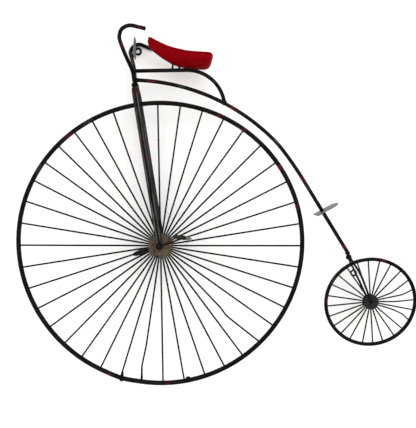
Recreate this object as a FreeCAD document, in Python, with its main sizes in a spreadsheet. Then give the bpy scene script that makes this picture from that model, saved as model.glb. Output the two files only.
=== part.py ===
"""High-wheel bicycle made as a wall sculpture of bent, butt-welded steel rod.

Layout points are measured from the centre of the front axle: +X towards the small rear wheel,
+Y towards the wall, +Z up.  at() moves them to the part's own frame, whose origin is the
centre of the upper hanging ring.
"""
import FreeCAD, Part
import math
import os
from FreeCAD import Placement, Rotation, Vector

doc = FreeCAD.newDocument("high_wheel_bicycle")

# alias: (value in mm or degrees, what it is)
DRIVING_SIZES = {
    "frame_rod": (10.0, "diameter of stem, backbone, saddle rail and handlebars"),
    "fork_rod": (8.0, "diameter of the rods of the front fork"),
    "rear_blade": (5.5, "diameter of the blades of the rear fork"),
    "front_rim_rod": (12.0, "diameter of the front rim rod"),
    "rear_rim_rod": (9.5, "diameter of the rear rim rod"),
    "front_spoke": (4.0, "diameter of the front spokes"),
    "rear_spoke": (3.2, "diameter of the rear spokes"),
    "crank_rod": (5.0, "diameter of cranks and pedal spindles"),
    "front_rim_long": (368.9, "front rim centreline, long half axis"),
    "front_rim_short": (363.8, "front rim centreline, short half axis"),
    "front_rim_tilt": (-9.2, "direction of the front rim's long axis"),
    "front_rim_lobe": (1.1, "height of the front rim's three low swells over its oval"),
    "front_rim_lobe_at": (32.0, "direction of the first swell"),
    "rear_rim_long": (116.6, "rear rim centreline, long half axis"),
    "rear_rim_short": (109.4, "rear rim centreline, short half axis"),
    "rear_rim_tilt": (20.0, "direction of the rear rim's long axis"),
    "rear_axle_x": (545.5, "rear axle behind the front axle"),
    "rear_axle_drop": (145.8, "rear axle below the front axle"),
    "steering_rake": (9.1, "lean of stem and fork from upright"),
    "blade_offset": (38.0, "front fork blades from the wheel's plane"),
    "bar_offset": (85.0, "handlebar ends from the wheel's plane"),
    "rear_blade_offset": (13.0, "rear fork blades from the wheel's plane"),
    "axle_front": (8.0, "diameter of the front axle"),
    "axle_rear": (6.0, "diameter of the rear axle"),
    "front_axle_half": (46.0, "half length of the front axle"),
    "running_gap": (0.05, "radial clearance of each turning fit"),
    "bush_outer": (18.0, "outer diameter of the front fork bushes"),
    "bush_length": (12.0, "length of the front fork bushes"),
    "front_disc": (64.0, "diameter of the front hub discs"),
    "front_core": (61.0, "diameter of the front hub core"),
    "front_core_length": (12.0, "length of the front hub core"),
    "rear_disc": (39.0, "diameter of the rear hub discs"),
    "rear_core": (32.0, "diameter of the rear hub core"),
    "rear_core_length": (10.4, "length of the rear hub core"),
    "front_disc_sheet": (3.0, "thickness of the front hub discs"),
    "sheet": (2.0, "thickness of the small plates and rear hub discs"),
    "spacer_outer": (13.0, "outer diameter of the front hub spacers"),
    "crown_outer": (19.0, "diameter of the weld metal that gathers the fork"),
    "crown_height": (16.0, "height of the weld metal that gathers the fork"),
    "crown_round": (4.0, "rounding of that weld metal's edges"),
    "crank_reach": (68.0, "front axle to pedal spindle"),
    "crank_angle": (19.5, "direction of the near crank above level"),
    "crank_stand_off": (1.0, "middle of the crank rod beyond the axle's end"),
    "pedal_stand_off": (5.0, "middle of the crank rod to the pedal's inner edge"),
    "pedal_length": (46.0, "pedal plate square to its spindle"),
    "pedal_inward": (27.0, "edge of the pedal plate nearest the hub to the spindle"),
    "pedal_width": (26.0, "pedal plate along its spindle"),
    "pedal_tube": (8.0, "outer diameter of the pedal's sleeve"),
    "pedal_end_play": (0.5, "gap between pedal and cap"),
    "cap_outer": (7.0, "outer diameter of the pedal caps"),
    "cap_length": (3.0, "length of the pedal caps"),
    "ring_top_bore": (11.0, "clear hole of the upper hanging ring"),
    "ring_top_wire": (6.2, "wire of the upper hanging ring"),
    "ring_low_bore": (9.0, "clear hole of the lower hanging ring"),
    "ring_low_wire": (5.0, "wire of the lower hanging ring"),
    "ring_ream": (0.4, "depth reamed off the inside of each ring"),
    "saddle_sheet": (1.6, "wall of the hollow saddle"),
    "step_length": (66.0, "step plate across the backbone"),
    "step_width": (55.0, "step plate in depth"),
    "step_crossing": (21.0, "front edge of the step plate to the backbone"),
    "post_front": (5.0, "diameter of the front saddle post"),
    "post_front_height": (13.5, "height of the front saddle post"),
    "post_rear": (6.0, "diameter of the rear saddle post"),
    "post_rear_height": (6.5, "height of the rear saddle post"),
    "bar_plate_height": (52.0, "small plate inside the far handlebar, height"),
    "bar_plate_width": (52.0, "small plate inside the far handlebar, depth"),
}

sheet = doc.addObject("Spreadsheet::Sheet", "Sizes")
for row, (alias, (value, meaning)) in enumerate(DRIVING_SIZES.items(), start=1):
    sheet.set(f"A{row}", meaning)
    sheet.set(f"B{row}", str(value))
    sheet.setAlias(f"B{row}", alias)
doc.recompute()

UPPER_RING = Vector(-69.4, 86.0, 529.2)
LOWER_RING = Vector(506.3, 18.5, -73.0)
WELD_DEPTH = 1.5
RIM_CORNERS = 20
RIM_ROUNDING = 0.48
nodes = []


def size(alias):
    """Value of one driving dimension."""
    return float(getattr(sheet, alias))


def at(x, y, z):
    """Point in the part's frame of a layout point."""
    return Vector(x, y, z) - UPPER_RING


def keep(item, name):
    """Name an object and list it as one node of the part."""
    item.Label = name
    nodes.append(item)
    return item


# ---------------------------------------------------------------- shapes that repeat

def cylinder(name, diameter, length, start, axis):
    """Round bar; diameter and length are expressions over the sheet's aliases."""
    bar = doc.addObject("Part::Cylinder", name)
    bar.setExpression("Radius", f"({diameter}) / 2")
    bar.setExpression("Height", length)
    bar.Placement = Placement(start, Rotation(Vector(0, 0, 1), axis))
    return bar


def tube(name, outer, bore, length, start, axis):
    """Round bar with a bore right through it."""
    body = cylinder(f"{name}_outside", outer, length, start, axis)
    hole = cylinder(f"{name}_bore", bore, length, start, axis)
    cut = doc.addObject("Part::Cut", name)
    cut.Base = body
    cut.Tool = hole
    return cut


def wire_object(name, edges):
    """A path, kept as an object so that a sweep can follow it."""
    path = doc.addObject("Part::Feature", name)
    path.Shape = Part.Wire(edges)
    return path


def rod(name, diameter, edges):
    """Round rod of the sheet's diameter swept along a path of lines and arcs."""
    path = wire_object(f"{name}_path", edges)
    first = path.Shape.Edges[0]
    profile = doc.addObject("Part::Circle", f"{name}_section")
    profile.setExpression("Radius", f"Sizes.{diameter} / 2")
    start = first.valueAt(first.FirstParameter)
    along = first.tangentAt(first.FirstParameter)
    profile.Placement = Placement(start, Rotation(Vector(0, 0, 1), along))
    sweep = doc.addObject("Part::Sweep", name)
    sweep.Sections = [profile]
    sweep.Spine = (path, [f"Edge{n + 1}" for n in range(len(path.Shape.Edges))])
    sweep.Solid = True
    sweep.Frenet = False
    return sweep


def corner_arc(before, corner, after, share):
    """Tangent arc that takes up this share of the shorter run beside a corner."""
    back = before - corner
    onward = after - corner
    setback = share * min(back.Length, onward.Length)
    back.normalize()
    onward.normalize()
    half_turn = (math.pi - back.getAngle(onward)) / 2
    radius = setback / math.tan(half_turn)
    inward = back + onward
    inward.normalize()
    middle = corner + inward * (radius / math.cos(half_turn) - radius)
    return corner + back * setback, middle, corner + onward * setback


def rounded_route(points, share=0.45):
    """Straight runs through layout points, each corner rounded by a tangent arc."""
    corners = [at(*point) for point in points]
    edges = []
    reached = corners[0]
    for before, corner, after in zip(corners, corners[1:], corners[2:]):
        enter, middle, leave = corner_arc(before, corner, after, share)
        edges.append(Part.LineSegment(reached, enter).toShape())
        edges.append(Part.Arc(enter, middle, leave).toShape())
        reached = leave
    edges.append(Part.LineSegment(reached, corners[-1]).toShape())
    return edges


def bent_route(start, heading, runs):
    """Path in the wheel's plane: each run is (length, turn in degrees)."""
    here = Vector(start[0], 0, start[1])
    angle = math.radians(heading)
    edges = []
    for length, turn in runs:
        turn = math.radians(turn)
        stops = [here]
        for part in (0.5, 1.0):
            chord = length * part
            if turn:
                chord = 2 * length / turn * math.sin(turn * part / 2)
            aim = angle + turn * part / 2
            stops.append(here + Vector(math.cos(aim), 0, math.sin(aim)) * chord)
        stops = [at(*stop) for stop in stops]
        if turn:
            edges.append(Part.Arc(*stops).toShape())
        else:
            edges.append(Part.LineSegment(stops[0], stops[2]).toShape())
        here = stops[2] + UPPER_RING
        angle += turn
    return edges


def rim_radius(wheel, angle):
    """Distance of a rim's centreline from its centre at an angle in degrees."""
    long_half = size(f"{wheel}_rim_long")
    short_half = size(f"{wheel}_rim_short")
    turned = math.radians(angle - size(f"{wheel}_rim_tilt"))
    across = math.hypot(short_half * math.cos(turned), long_half * math.sin(turned))
    radius = long_half * short_half / across
    if wheel == "front":
        swell = math.radians(3 * (angle - size("front_rim_lobe_at")))
        radius += size("front_rim_lobe") * math.cos(swell)
    return radius


def rim_edges(wheel, centre):
    """Closed rim line: the rounded corners of a many-sided figure laid round the oval."""
    corners = []
    for number in range(RIM_CORNERS):
        turn = 2 * math.pi * number / RIM_CORNERS
        reach = rim_radius(wheel, math.degrees(turn)) / math.cos(math.pi / RIM_CORNERS)
        corners.append(at(*centre) + Vector(math.cos(turn), 0, math.sin(turn)) * reach)
    arcs = []
    for number, corner in enumerate(corners):
        after = corners[(number + 1) % RIM_CORNERS]
        arcs.append(corner_arc(corners[number - 1], corner, after, RIM_ROUNDING))
    edges = []
    for number, (enter, middle, leave) in enumerate(arcs):
        following = arcs[(number + 1) % RIM_CORNERS]
        edges.append(Part.Arc(enter, middle, leave).toShape())
        edges.append(Part.LineSegment(leave, following[0]).toShape())
    return edges


def spoke_angles(first, groups):
    """Spoke seats round a rim; each group is (number of gaps, gap in degrees)."""
    angles = []
    angle = first
    for count, gap in groups:
        for _ in range(count):
            angles.append(angle)
            angle += gap
    return angles


def spoke(inner, seat, wire, dents):
    """One wire from the hub core to the rim, with its dents as (share, sideways mm)."""
    along = seat - inner
    if not dents:
        return Part.makeCylinder(wire / 2, along.Length, at(*inner), along)
    side = Vector(-along.z, 0, along.x)
    side.normalize()
    route = [inner]
    for share, sideways in dents:
        route.append(inner + along * share + side * sideways)
    route.append(seat)
    path = Part.Wire(rounded_route([tuple(point) for point in route], 0.25))
    section = Part.Wire(Part.Circle(at(*route[0]), route[1] - route[0], wire / 2).toShape())
    return path.makePipeShell([section], True, False)


def spoke_set(wheel, axle, rim_centre, angles, dents):
    """All spokes of a wheel as separate solids in one node."""
    solids = []
    for number, angle in enumerate(angles):
        ray = Vector(math.cos(math.radians(angle)), 0, math.sin(math.radians(angle)))
        reach = rim_radius(wheel, angle) - size(f"{wheel}_rim_rod") / 2 + WELD_DEPTH
        seat = rim_centre + ray * reach
        towards = seat - axle
        towards.normalize()
        inner = axle + towards * (size(f"{wheel}_core") / 2 - WELD_DEPTH)
        solids.append(spoke(inner, seat, size(f"{wheel}_spoke"), dents.get(number, [])))
    group = doc.addObject("Part::Feature", f"{wheel}_spokes")
    group.Shape = Part.makeCompound(solids)
    return group


# ---------------------------------------------------------------- frame: stem and front fork

def steering_point(height, forward=0.0, depth=0.0):
    """Layout point on the raked steering line, stepped forward across it and in depth."""
    rake = math.radians(size("steering_rake"))
    return (0.7 - height * math.tan(rake) + forward * math.cos(rake), depth,
            height + forward * math.sin(rake))


STEM_FOOT = 402.0
STEM_TOP = 470.0
CROWN_LOW = 399.0
FORK_SHOULDER = 398.0
FORK_TUCKED = 410.0
FORK_TOP = 422.0
ROD_GAP = 0.1


def make_stem():
    """Upright rod that carries fork, backbone, saddle rail and both handlebars."""
    foot = at(*steering_point(STEM_FOOT))
    top = at(*steering_point(STEM_TOP))
    length = f"{(top - foot).Length}"
    keep(cylinder("stem", "Sizes.frame_rod", length, foot, top - foot), "stem")


def make_crown():
    """Lump of weld metal that gathers the four fork rods under the stem."""
    low = at(*steering_point(CROWN_LOW))
    high = at(*steering_point(CROWN_LOW + size("crown_height")))
    blank = cylinder("crown_blank", "Sizes.crown_outer", "Sizes.crown_height", low, high - low)
    rounding = size("crown_round")
    crown = doc.addObject("Part::Fillet", "fork_crown")
    crown.Base = blank
    crown.Edges = [(1, rounding, rounding), (3, rounding, rounding)]
    keep(crown, "fork_crown")


def make_fork():
    """Two blades, each a pair of rods side by side, from the axle bushes up over the rim."""
    tucked = size("fork_rod") + ROD_GAP
    spread = size("blade_offset")
    foot_height = size("bush_outer") / 2 - WELD_DEPTH
    for side, depth in (("near", -1), ("far", 1)):
        for place, forward in (("front", -tucked / 2), ("rear", tucked / 2)):
            name = f"fork_rod_{side}_{place}"
            points = [
                steering_point(foot_height, forward, depth * spread),
                steering_point(FORK_SHOULDER, forward, depth * spread),
                steering_point(FORK_TUCKED, forward, depth * tucked),
                steering_point(FORK_TOP, forward, depth * tucked),
            ]
            keep(rod(name, "fork_rod", rounded_route(points)), name)
        bush_centre = depth * spread
        start = at(0, bush_centre - size("bush_length") / 2, 0)
        bush = tube(f"fork_bush_{side}", "Sizes.bush_outer", "Sizes.axle_front + 2 * Sizes.running_gap",
                    "Sizes.bush_length", start, Vector(0, 1, 0))
        keep(bush, f"fork_bush_{side}")


# ---------------------------------------------------------------- frame: bars, backbone, saddle

def make_handlebars():
    """Two hand-bent bars that flank the stem, spread apart and hook back over the top."""
    reach = size("bar_offset")
    flank = size("frame_rod") - 2 * ROD_GAP
    near = [(-67.5, -flank, 425), (-71, -flank, 452), (-85, -50, 482), (-96, -reach, 515),
            (-90, -reach, 537.5), (-70, -reach, 546.5), (-30, -reach, 537)]
    far = [(-67.5, flank, 425), (-69.5, flank, 462), (-80, 50, 494), (-91, reach, 527),
           (-82, reach, 543.5), (-66, reach, 549.5), (-31, reach, 535)]
    keep(rod("handlebar_near", "frame_rod", rounded_route(near)), "handlebar_near")
    keep(rod("handlebar_far", "frame_rod", rounded_route(far)), "handlebar_far")


def make_backbone():
    """Main rod: follows the front rim at an even gap, then runs straight to the rear fork."""
    start = (steering_point(429.5)[0] + size("frame_rod") / 2 - WELD_DEPTH, 430.2)
    runs = [(393.8, -42.8), (44.0, -8.1), (92.0, -6.1), (227.0, 0.0)]
    keep(rod("backbone", "frame_rod", bent_route(start, -1.6, runs)), "backbone")


def make_saddle_rail():
    """Level rod under the saddle that curves down on to the backbone."""
    start = (steering_point(455.0)[0] + size("frame_rod") / 2 - WELD_DEPTH, 454.1)
    runs = [(135.7, 0.0), (145.2, -84.9)]
    keep(rod("saddle_rail", "frame_rod", bent_route(start, 0.9, runs)), "saddle_rail")


POST_FOOT = 459.5


def make_saddle_posts():
    """Two short struts between the rail and the saddle's belly."""
    up = Vector(0, 0, 1)
    front = cylinder("saddle_post_front", "Sizes.post_front", "Sizes.post_front_height",
                     at(31.2, 0, POST_FOOT), up)
    rear = cylinder("saddle_post_rear", "Sizes.post_rear", "Sizes.post_rear_height",
                    at(48.6, 0, POST_FOOT), up)
    keep(front, "saddle_post_front")
    keep(rear, "saddle_post_rear")


# station x, half width, height of the rim, height of the belly
SADDLE_STATIONS = [
    (-32, 8, 528, 519),
    (-28, 12, 535.5, 512),
    (-5, 18, 524, 494),
    (21, 25, 510.5, 476.5),
    (45, 33, 501.5, 465.5),
    (73, 44, 493, 462.5),
    (103, 54, 488, 462),
    (118, 52, 487.5, 462.5),
    (127, 43, 489, 467),
    (132, 30, 490, 476),
    (134.5, 16, 489.5, 484.5),
]
LID_CROWN = 0.06
BELLY_SIDE = (0.86, 0.32)
LINING_LIFT = 1.0


def belly_section(x, half, rim, belly, inset, lift):
    """Closed section: level chord at the rim, rounded belly below it."""
    left = at(x, -half + inset, rim + lift)
    right = at(x, half - inset, rim + lift)
    low = belly + inset
    side_width = (half - inset) * BELLY_SIDE[0]
    side_height = low + (rim - low) * BELLY_SIDE[1]
    knots = [left, at(x, -side_width, side_height), at(x, 0, low), at(x, side_width, side_height), right]
    curve = Part.BSplineCurve()
    curve.interpolate(knots)
    return Part.Wire([curve.toShape(), Part.LineSegment(right, left).toShape()])


def lid_section(x, half, rim):
    """Closed section of the saddle's top sheet, slightly crowned."""
    thick = size("saddle_sheet")
    left = at(x, -half, rim)
    right = at(x, half, rim)
    left_up = left + Vector(0, 0, thick)
    right_up = right + Vector(0, 0, thick)
    crown = at(x, 0, rim + thick + half * LID_CROWN)
    return Part.Wire([
        Part.LineSegment(right, left).toShape(),
        Part.LineSegment(left, left_up).toShape(),
        Part.Arc(left_up, crown, right_up).toShape(),
        Part.LineSegment(right_up, right).toShape(),
    ])


def make_saddle():
    """Hollow saddle: a deep formed pan and the crowned sheet that closes it."""
    wall = size("saddle_sheet")
    outer = [belly_section(*station, 0.0, 0.0) for station in SADDLE_STATIONS]
    inner = []
    for x, half, rim, belly in SADDLE_STATIONS[1:-1]:
        inner.append(belly_section(x, half, rim, belly, wall, LINING_LIFT))
    pan = doc.addObject("Part::Feature", "saddle_pan")
    shell = Part.makeLoft(outer, True, False)
    pan.Shape = shell.cut(Part.makeLoft(inner, True, False))
    keep(pan, "saddle_pan")
    lid = doc.addObject("Part::Feature", "saddle_top")
    sections = [lid_section(x, half, rim) for x, half, rim, belly in SADDLE_STATIONS]
    lid.Shape = Part.makeLoft(sections, True, False)
    keep(lid, "saddle_top")


# ---------------------------------------------------------------- frame: plates, rear fork, rings

NOSE_SHARE = 0.35
STEP_TILT = -28.9
STEP_ROLL = 4.5
STEP_PLACE = (420.9, 0, 89.0)
BAR_PLATE_TILT = 2.0


def plate_body(name, length, width, bore, bore_x):
    """Flat plate as a padded sketch, its far end rounded, with an optional hole."""
    body = doc.addObject("PartDesign::Body", name)
    sketch = body.newObject("Sketcher::SketchObject", f"{name}_outline")
    plane = next(item for item in body.Origin.OriginFeatures if item.Role == "XY_Plane")
    sketch.AttachmentSupport = [(plane, "")]
    sketch.MapMode = "FlatFace"
    long = size(length)
    half = size(width) / 2
    nose = long - half * NOSE_SHARE
    corners = [Vector(0, -half, 0), Vector(nose, -half, 0), Vector(nose, half, 0), Vector(0, half, 0)]
    sketch.addGeometry(Part.LineSegment(corners[3], corners[0]), False)
    sketch.addGeometry(Part.LineSegment(corners[0], corners[1]), False)
    sketch.addGeometry(Part.Arc(corners[1], Vector(long, 0, 0), corners[2]), False)
    sketch.addGeometry(Part.LineSegment(corners[2], corners[3]), False)
    if bore:
        sketch.addGeometry(Part.Circle(Vector(bore_x, 0, 0), Vector(0, 0, 1), bore / 2), False)
    pad = body.newObject("PartDesign::Pad", f"{name}_pad")
    pad.Profile = sketch
    pad.setExpression("Length", "Sizes.sheet")
    return body


def make_step_plate():
    """Mounting step: a plate square to the backbone, which runs through it."""
    crossing = at(*STEP_PLACE)
    bore_x = size("step_crossing")
    body = plate_body("step_plate", "step_length", "step_width", size("frame_rod") + ROD_GAP, bore_x)
    turned = Rotation(Vector(0, 1, 0), STEP_TILT) * Rotation(Vector(1, 0, 0), STEP_ROLL)
    base = crossing - turned.multVec(Vector(bore_x, 0, size("sheet") / 2))
    body.Placement = Placement(base, turned)
    keep(body, "step_plate")


def make_bar_plate():
    """Small upright plate welded inside the far handlebar's bend."""
    plate = doc.addObject("Part::Box", "bar_plate")
    plate.setExpression("Length", "Sizes.sheet")
    plate.setExpression("Width", "Sizes.bar_plate_width")
    plate.setExpression("Height", "Sizes.bar_plate_height")
    plate.Placement = Placement(at(-75.5, 24, 503), Rotation(Vector(0, 1, 0), BAR_PLATE_TILT))
    keep(plate, "bar_plate")


def make_rear_fork():
    """Two blades that leave the backbone's end and straddle the small wheel."""
    spread = size("rear_blade_offset")
    hub = (size("rear_axle_x") - 2, -size("rear_axle_drop") + 1)
    near = [(488, -4, -24), (497, -spread, -38), (520.5, -spread, -76), (hub[0], -spread, hub[1])]
    far = [(488, 4, -24), (493.5, spread, -38), (512.5, spread, -77.5), (hub[0], spread, hub[1])]
    keep(rod("rear_fork_near", "rear_blade", rounded_route(near)), "rear_fork_near")
    keep(rod("rear_fork_far", "rear_blade", rounded_route(far)), "rear_fork_far")
    half = spread + size("rear_blade") / 2
    axle = cylinder("rear_axle", "Sizes.axle_rear", "2 * Sizes.rear_blade_offset + Sizes.rear_blade",
                    at(size("rear_axle_x"), -half, -size("rear_axle_drop")), Vector(0, 1, 0))
    keep(axle, "rear_axle")


def hanging_ring(name, centre, bore, wire):
    """Closed wire ring for a wall hook, its inside reamed to the clear hole."""
    torus = doc.addObject("Part::Torus", f"{name}_wire")
    torus.setExpression("Radius1", f"(Sizes.{bore} + Sizes.{wire}) / 2 - Sizes.ring_ream")
    torus.setExpression("Radius2", f"Sizes.{wire} / 2")
    torus.Placement = Placement(at(*centre), Rotation(Vector(0, 0, 1), Vector(0, 1, 0)))
    half = size(wire)
    reamer = cylinder(f"{name}_reamer", f"Sizes.{bore}", f"2 * Sizes.{wire}",
                      at(*centre) - Vector(0, half, 0), Vector(0, 1, 0))
    ring = doc.addObject("Part::Cut", name)
    ring.Base = torus
    ring.Tool = reamer
    keep(ring, name)


def make_weld_beads():
    """Beads that join the rods where they meet."""
    stem_rail = steering_point(454.0)
    stem_back = steering_point(430.0)
    beads = {
        "stem_to_rail": ((stem_rail[0] + 5, 0, 454), 6.4),
        "stem_to_backbone": ((stem_back[0] + 5, 0, 430), 6.6),
        "rail_to_backbone": ((165.5, 0, 371.5), 7.0),
        "rear_fork": ((489, 0, -29.5), 7.2),
        "ring_top": ((-77.0, 86, 540.0), 3.6),
        "ring_bottom": ((512.4, 16.6, -77.0), 2.2),
        "bar_plate": ((-78.2, 64, 512), 4.6),
    }
    solids = []
    for centre, radius in beads.values():
        solids.append(Part.makeSphere(radius, at(*centre)))
    group = doc.addObject("Part::Feature", "weld_beads")
    group.Shape = Part.makeCompound(solids)
    keep(group, "weld_beads")


# ---------------------------------------------------------------- wheels, cranks and pedals

FRONT_CENTRE = Vector(-0.5, 0, 8.1)
FRONT_FIRST_SPOKE = -1.3
REAR_FIRST_SPOKE = 92.9
SPACER_END_PLAY = 0.3
FRONT_GROUPS = [(4, 9.0), (9, 9.4), (4, 8.65), (11, 9.06), (12, 8.76)]
FRONT_DENTS = {29: [(0.72, -1.0), (0.90, -5.3)], 35: [(0.52, -5.8), (0.60, -6.6), (0.67, -11.4)]}
REAR_GROUPS = [(5, 15.8), (5, 13.8), (1, 18.0), (2, 14.2), (1, 17.6), (3, 14.8), (3, 13.4), (4, 15.9)]
REAR_DENTS = {16: [(0.48, 7.0), (0.78, 7.0)], 18: [(0.50, -2.9)], 19: [(0.72, -5.6)], 20: [(0.46, -7.2)]}


def hub_discs(wheel, axle, disc, thickness, core_half, bore):
    """Two face discs against the ends of the hub core."""
    for side, start in (("near", -core_half - size(thickness)), ("far", core_half)):
        name = f"{wheel}_hub_disc_{side}"
        base = at(axle.x, start, axle.z)
        keep(tube(name, f"Sizes.{disc}", bore, f"Sizes.{thickness}", base, Vector(0, 1, 0)), name)


def make_front_wheel():
    """Rim, forty spokes and a hub that is pressed on to its axle."""
    axle = Vector(0, 0, 0)
    keep(rod("front_rim", "front_rim_rod", rim_edges("front", FRONT_CENTRE)), "front_rim")
    angles = spoke_angles(FRONT_FIRST_SPOKE, FRONT_GROUPS)
    keep(spoke_set("front", axle, FRONT_CENTRE, angles, FRONT_DENTS), "front_spokes")
    half = size("front_core_length") / 2
    bore = "Sizes.axle_front"
    core = tube("front_hub_core", "Sizes.front_core", bore, "Sizes.front_core_length",
                at(0, -half, 0), Vector(0, 1, 0))
    keep(core, "front_hub_core")
    hub_discs("front", axle, "front_disc", "front_disc_sheet", half, bore)
    keep(cylinder("front_axle", "Sizes.axle_front", "2 * Sizes.front_axle_half",
                  at(0, -size("front_axle_half"), 0), Vector(0, 1, 0)), "front_axle")
    inner = half + size("front_disc_sheet")
    outer = size("blade_offset") - size("bush_length") / 2 - SPACER_END_PLAY
    for side, start in (("near", -outer), ("far", inner)):
        name = f"front_spacer_{side}"
        keep(tube(name, "Sizes.spacer_outer", bore, f"{outer - inner}", at(0, start, 0),
                  Vector(0, 1, 0)), name)


def make_rear_wheel():
    """Rim, twenty-four spokes and a hub that turns on its fixed axle."""
    axle = Vector(size("rear_axle_x"), 0, -size("rear_axle_drop"))
    keep(rod("rear_rim", "rear_rim_rod", rim_edges("rear", axle)), "rear_rim")
    angles = spoke_angles(REAR_FIRST_SPOKE, REAR_GROUPS)
    keep(spoke_set("rear", axle, axle, angles, REAR_DENTS), "rear_spokes")
    half = size("rear_core_length") / 2
    bore = "Sizes.axle_rear + 2 * Sizes.running_gap"
    core = tube("rear_hub_core", "Sizes.rear_core", bore, "Sizes.rear_core_length",
                at(axle.x, -half, axle.z), Vector(0, 1, 0))
    keep(core, "rear_hub_core")
    hub_discs("rear", axle, "rear_disc", "sheet", half, bore)


def make_crank_and_pedal(side, depth, angle, tilt, roll):
    """Bent crank rod, its pedal on the outer leg and the cap that keeps the pedal on."""
    reach = size("crank_reach")
    swing = math.radians(angle)
    eye_x = reach * math.cos(swing)
    eye_z = reach * math.sin(swing)
    arm = size("front_axle_half") + size("crank_stand_off")
    inner = arm + size("pedal_stand_off")
    cap_start = inner + size("pedal_width") + size("pedal_end_play")
    tip = cap_start + size("cap_length")
    points = [(0, depth * arm, 0), (eye_x, depth * arm, eye_z), (eye_x, depth * tip, eye_z)]
    keep(rod(f"crank_{side}", "crank_rod", rounded_route(points, 0.12)), f"crank_{side}")
    outward = Vector(0, depth, 0)
    start = at(eye_x, depth * inner, eye_z)
    width = "Sizes.pedal_width"
    sleeve = cylinder(f"pedal_{side}_sleeve", "Sizes.pedal_tube", width, start, outward)
    plate = doc.addObject("Part::Box", f"pedal_{side}_plate")
    plate.setExpression("Length", "Sizes.pedal_length")
    plate.setExpression("Width", width)
    plate.setExpression("Height", "Sizes.sheet")
    turned = Rotation(Vector(0, 1, 0), tilt) * Rotation(Vector(1, 0, 0), roll)
    middle = at(eye_x, depth * (inner + size("pedal_width") / 2), eye_z)
    inward = size("pedal_inward") if eye_x > 0 else size("pedal_length") - size("pedal_inward")
    corner = Vector(inward, size("pedal_width") / 2, size("sheet") / 2)
    plate.Placement = Placement(middle - turned.multVec(corner), turned)
    body = doc.addObject("Part::Fuse", f"pedal_{side}_body")
    body.Base = plate
    body.Tool = sleeve
    hole = cylinder(f"pedal_{side}_bore", "Sizes.crank_rod + 2 * Sizes.running_gap", "2 * " + width,
                    start - outward * size("pedal_width") / 2, outward)
    pedal = doc.addObject("Part::Cut", f"pedal_{side}")
    pedal.Base = body
    pedal.Tool = hole
    keep(pedal, f"pedal_{side}")
    cap = cylinder(f"pedal_cap_{side}", "Sizes.cap_outer", "Sizes.cap_length",
                   at(eye_x, depth * cap_start, eye_z), outward)
    keep(cap, f"pedal_cap_{side}")


# ---------------------------------------------------------------- build, check and write

def build():
    """Make every sub-part."""
    make_stem()
    make_crown()
    make_fork()
    make_handlebars()
    make_backbone()
    make_saddle_rail()
    make_saddle_posts()
    make_saddle()
    make_step_plate()
    make_bar_plate()
    make_rear_fork()
    hanging_ring("ring_top", UPPER_RING, "ring_top_bore", "ring_top_wire")
    hanging_ring("ring_bottom", LOWER_RING, "ring_low_bore", "ring_low_wire")
    make_weld_beads()
    make_front_wheel()
    make_rear_wheel()
    make_crank_and_pedal("near", -1, size("crank_angle"), 6, -24)
    make_crank_and_pedal("far", 1, size("crank_angle") + 180, -20, 32)


def check():
    """Stop if any object failed or any sub-part has no sound shape."""
    for item in doc.Objects:
        if "Invalid" in item.State or "Error" in item.State:
            raise RuntimeError(f"{item.Name} did not compute: {item.State}")
    for item in nodes:
        if item.Shape.isNull() or not item.Shape.isValid():
            raise RuntimeError(f"{item.Label} has no valid shape")
        if item.Shape.Volume <= 0:
            raise RuntimeError(f"{item.Label} has no volume")


build()
doc.recompute()
check()
os.makedirs("parts", exist_ok=True)
for item in nodes:
    item.Shape.exportStep(f"parts/{item.Label}.step")
    print(f"{item.Label}: {len(item.Shape.Solids)} solids, {item.Shape.Volume / 1000:.2f} cm3")
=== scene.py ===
import math

import bmesh
import bpy
import numpy as np
from mathutils import Matrix, Vector, noise


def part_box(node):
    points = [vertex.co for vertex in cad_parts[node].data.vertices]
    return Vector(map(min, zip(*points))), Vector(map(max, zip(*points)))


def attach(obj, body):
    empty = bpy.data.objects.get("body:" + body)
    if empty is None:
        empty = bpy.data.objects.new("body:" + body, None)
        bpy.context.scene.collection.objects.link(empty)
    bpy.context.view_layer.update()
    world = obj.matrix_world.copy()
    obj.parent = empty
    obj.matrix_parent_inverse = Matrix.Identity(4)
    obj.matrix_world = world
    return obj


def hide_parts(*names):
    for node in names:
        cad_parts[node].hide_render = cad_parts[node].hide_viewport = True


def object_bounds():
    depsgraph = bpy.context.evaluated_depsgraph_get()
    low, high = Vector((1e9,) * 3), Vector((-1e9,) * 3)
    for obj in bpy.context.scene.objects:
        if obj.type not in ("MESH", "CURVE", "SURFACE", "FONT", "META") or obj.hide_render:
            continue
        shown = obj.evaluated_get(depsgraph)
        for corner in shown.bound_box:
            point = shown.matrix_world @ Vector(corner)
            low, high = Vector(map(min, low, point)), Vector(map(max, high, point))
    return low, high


bl_info = {
    "name": "High-wheel bicycle wall sculpture",
    "version": (1, 0, 0),
    "blender": (4, 5, 0),
    "location": "3D View > Sidebar > Sculpture",
    "description": "Makes the rods, wheels, saddle and plates of a wall sculpture round its CAD frame",
    "category": "Object",
}

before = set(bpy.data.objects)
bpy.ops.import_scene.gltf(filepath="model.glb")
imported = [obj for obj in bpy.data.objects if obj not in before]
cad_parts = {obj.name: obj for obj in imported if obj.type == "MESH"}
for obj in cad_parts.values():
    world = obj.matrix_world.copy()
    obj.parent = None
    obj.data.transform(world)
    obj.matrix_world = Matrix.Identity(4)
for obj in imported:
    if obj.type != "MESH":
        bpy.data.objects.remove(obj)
CAD_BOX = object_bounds()

IMAGE_HEIGHT = 428


def middle(node):
    """Centre of a CAD node's box."""
    low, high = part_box(node)
    return (low + high) / 2


def spans(node):
    """Width, depth and height of a CAD node's box."""
    low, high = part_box(node)
    return high - low


AXLE = middle("front_axle")
REAR_AXLE = middle("rear_axle")


def at(x, y, z):
    """Point in the part's frame of a place measured from the centre of the large wheel's axle."""
    return AXLE + Vector((x, y, z))


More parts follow.
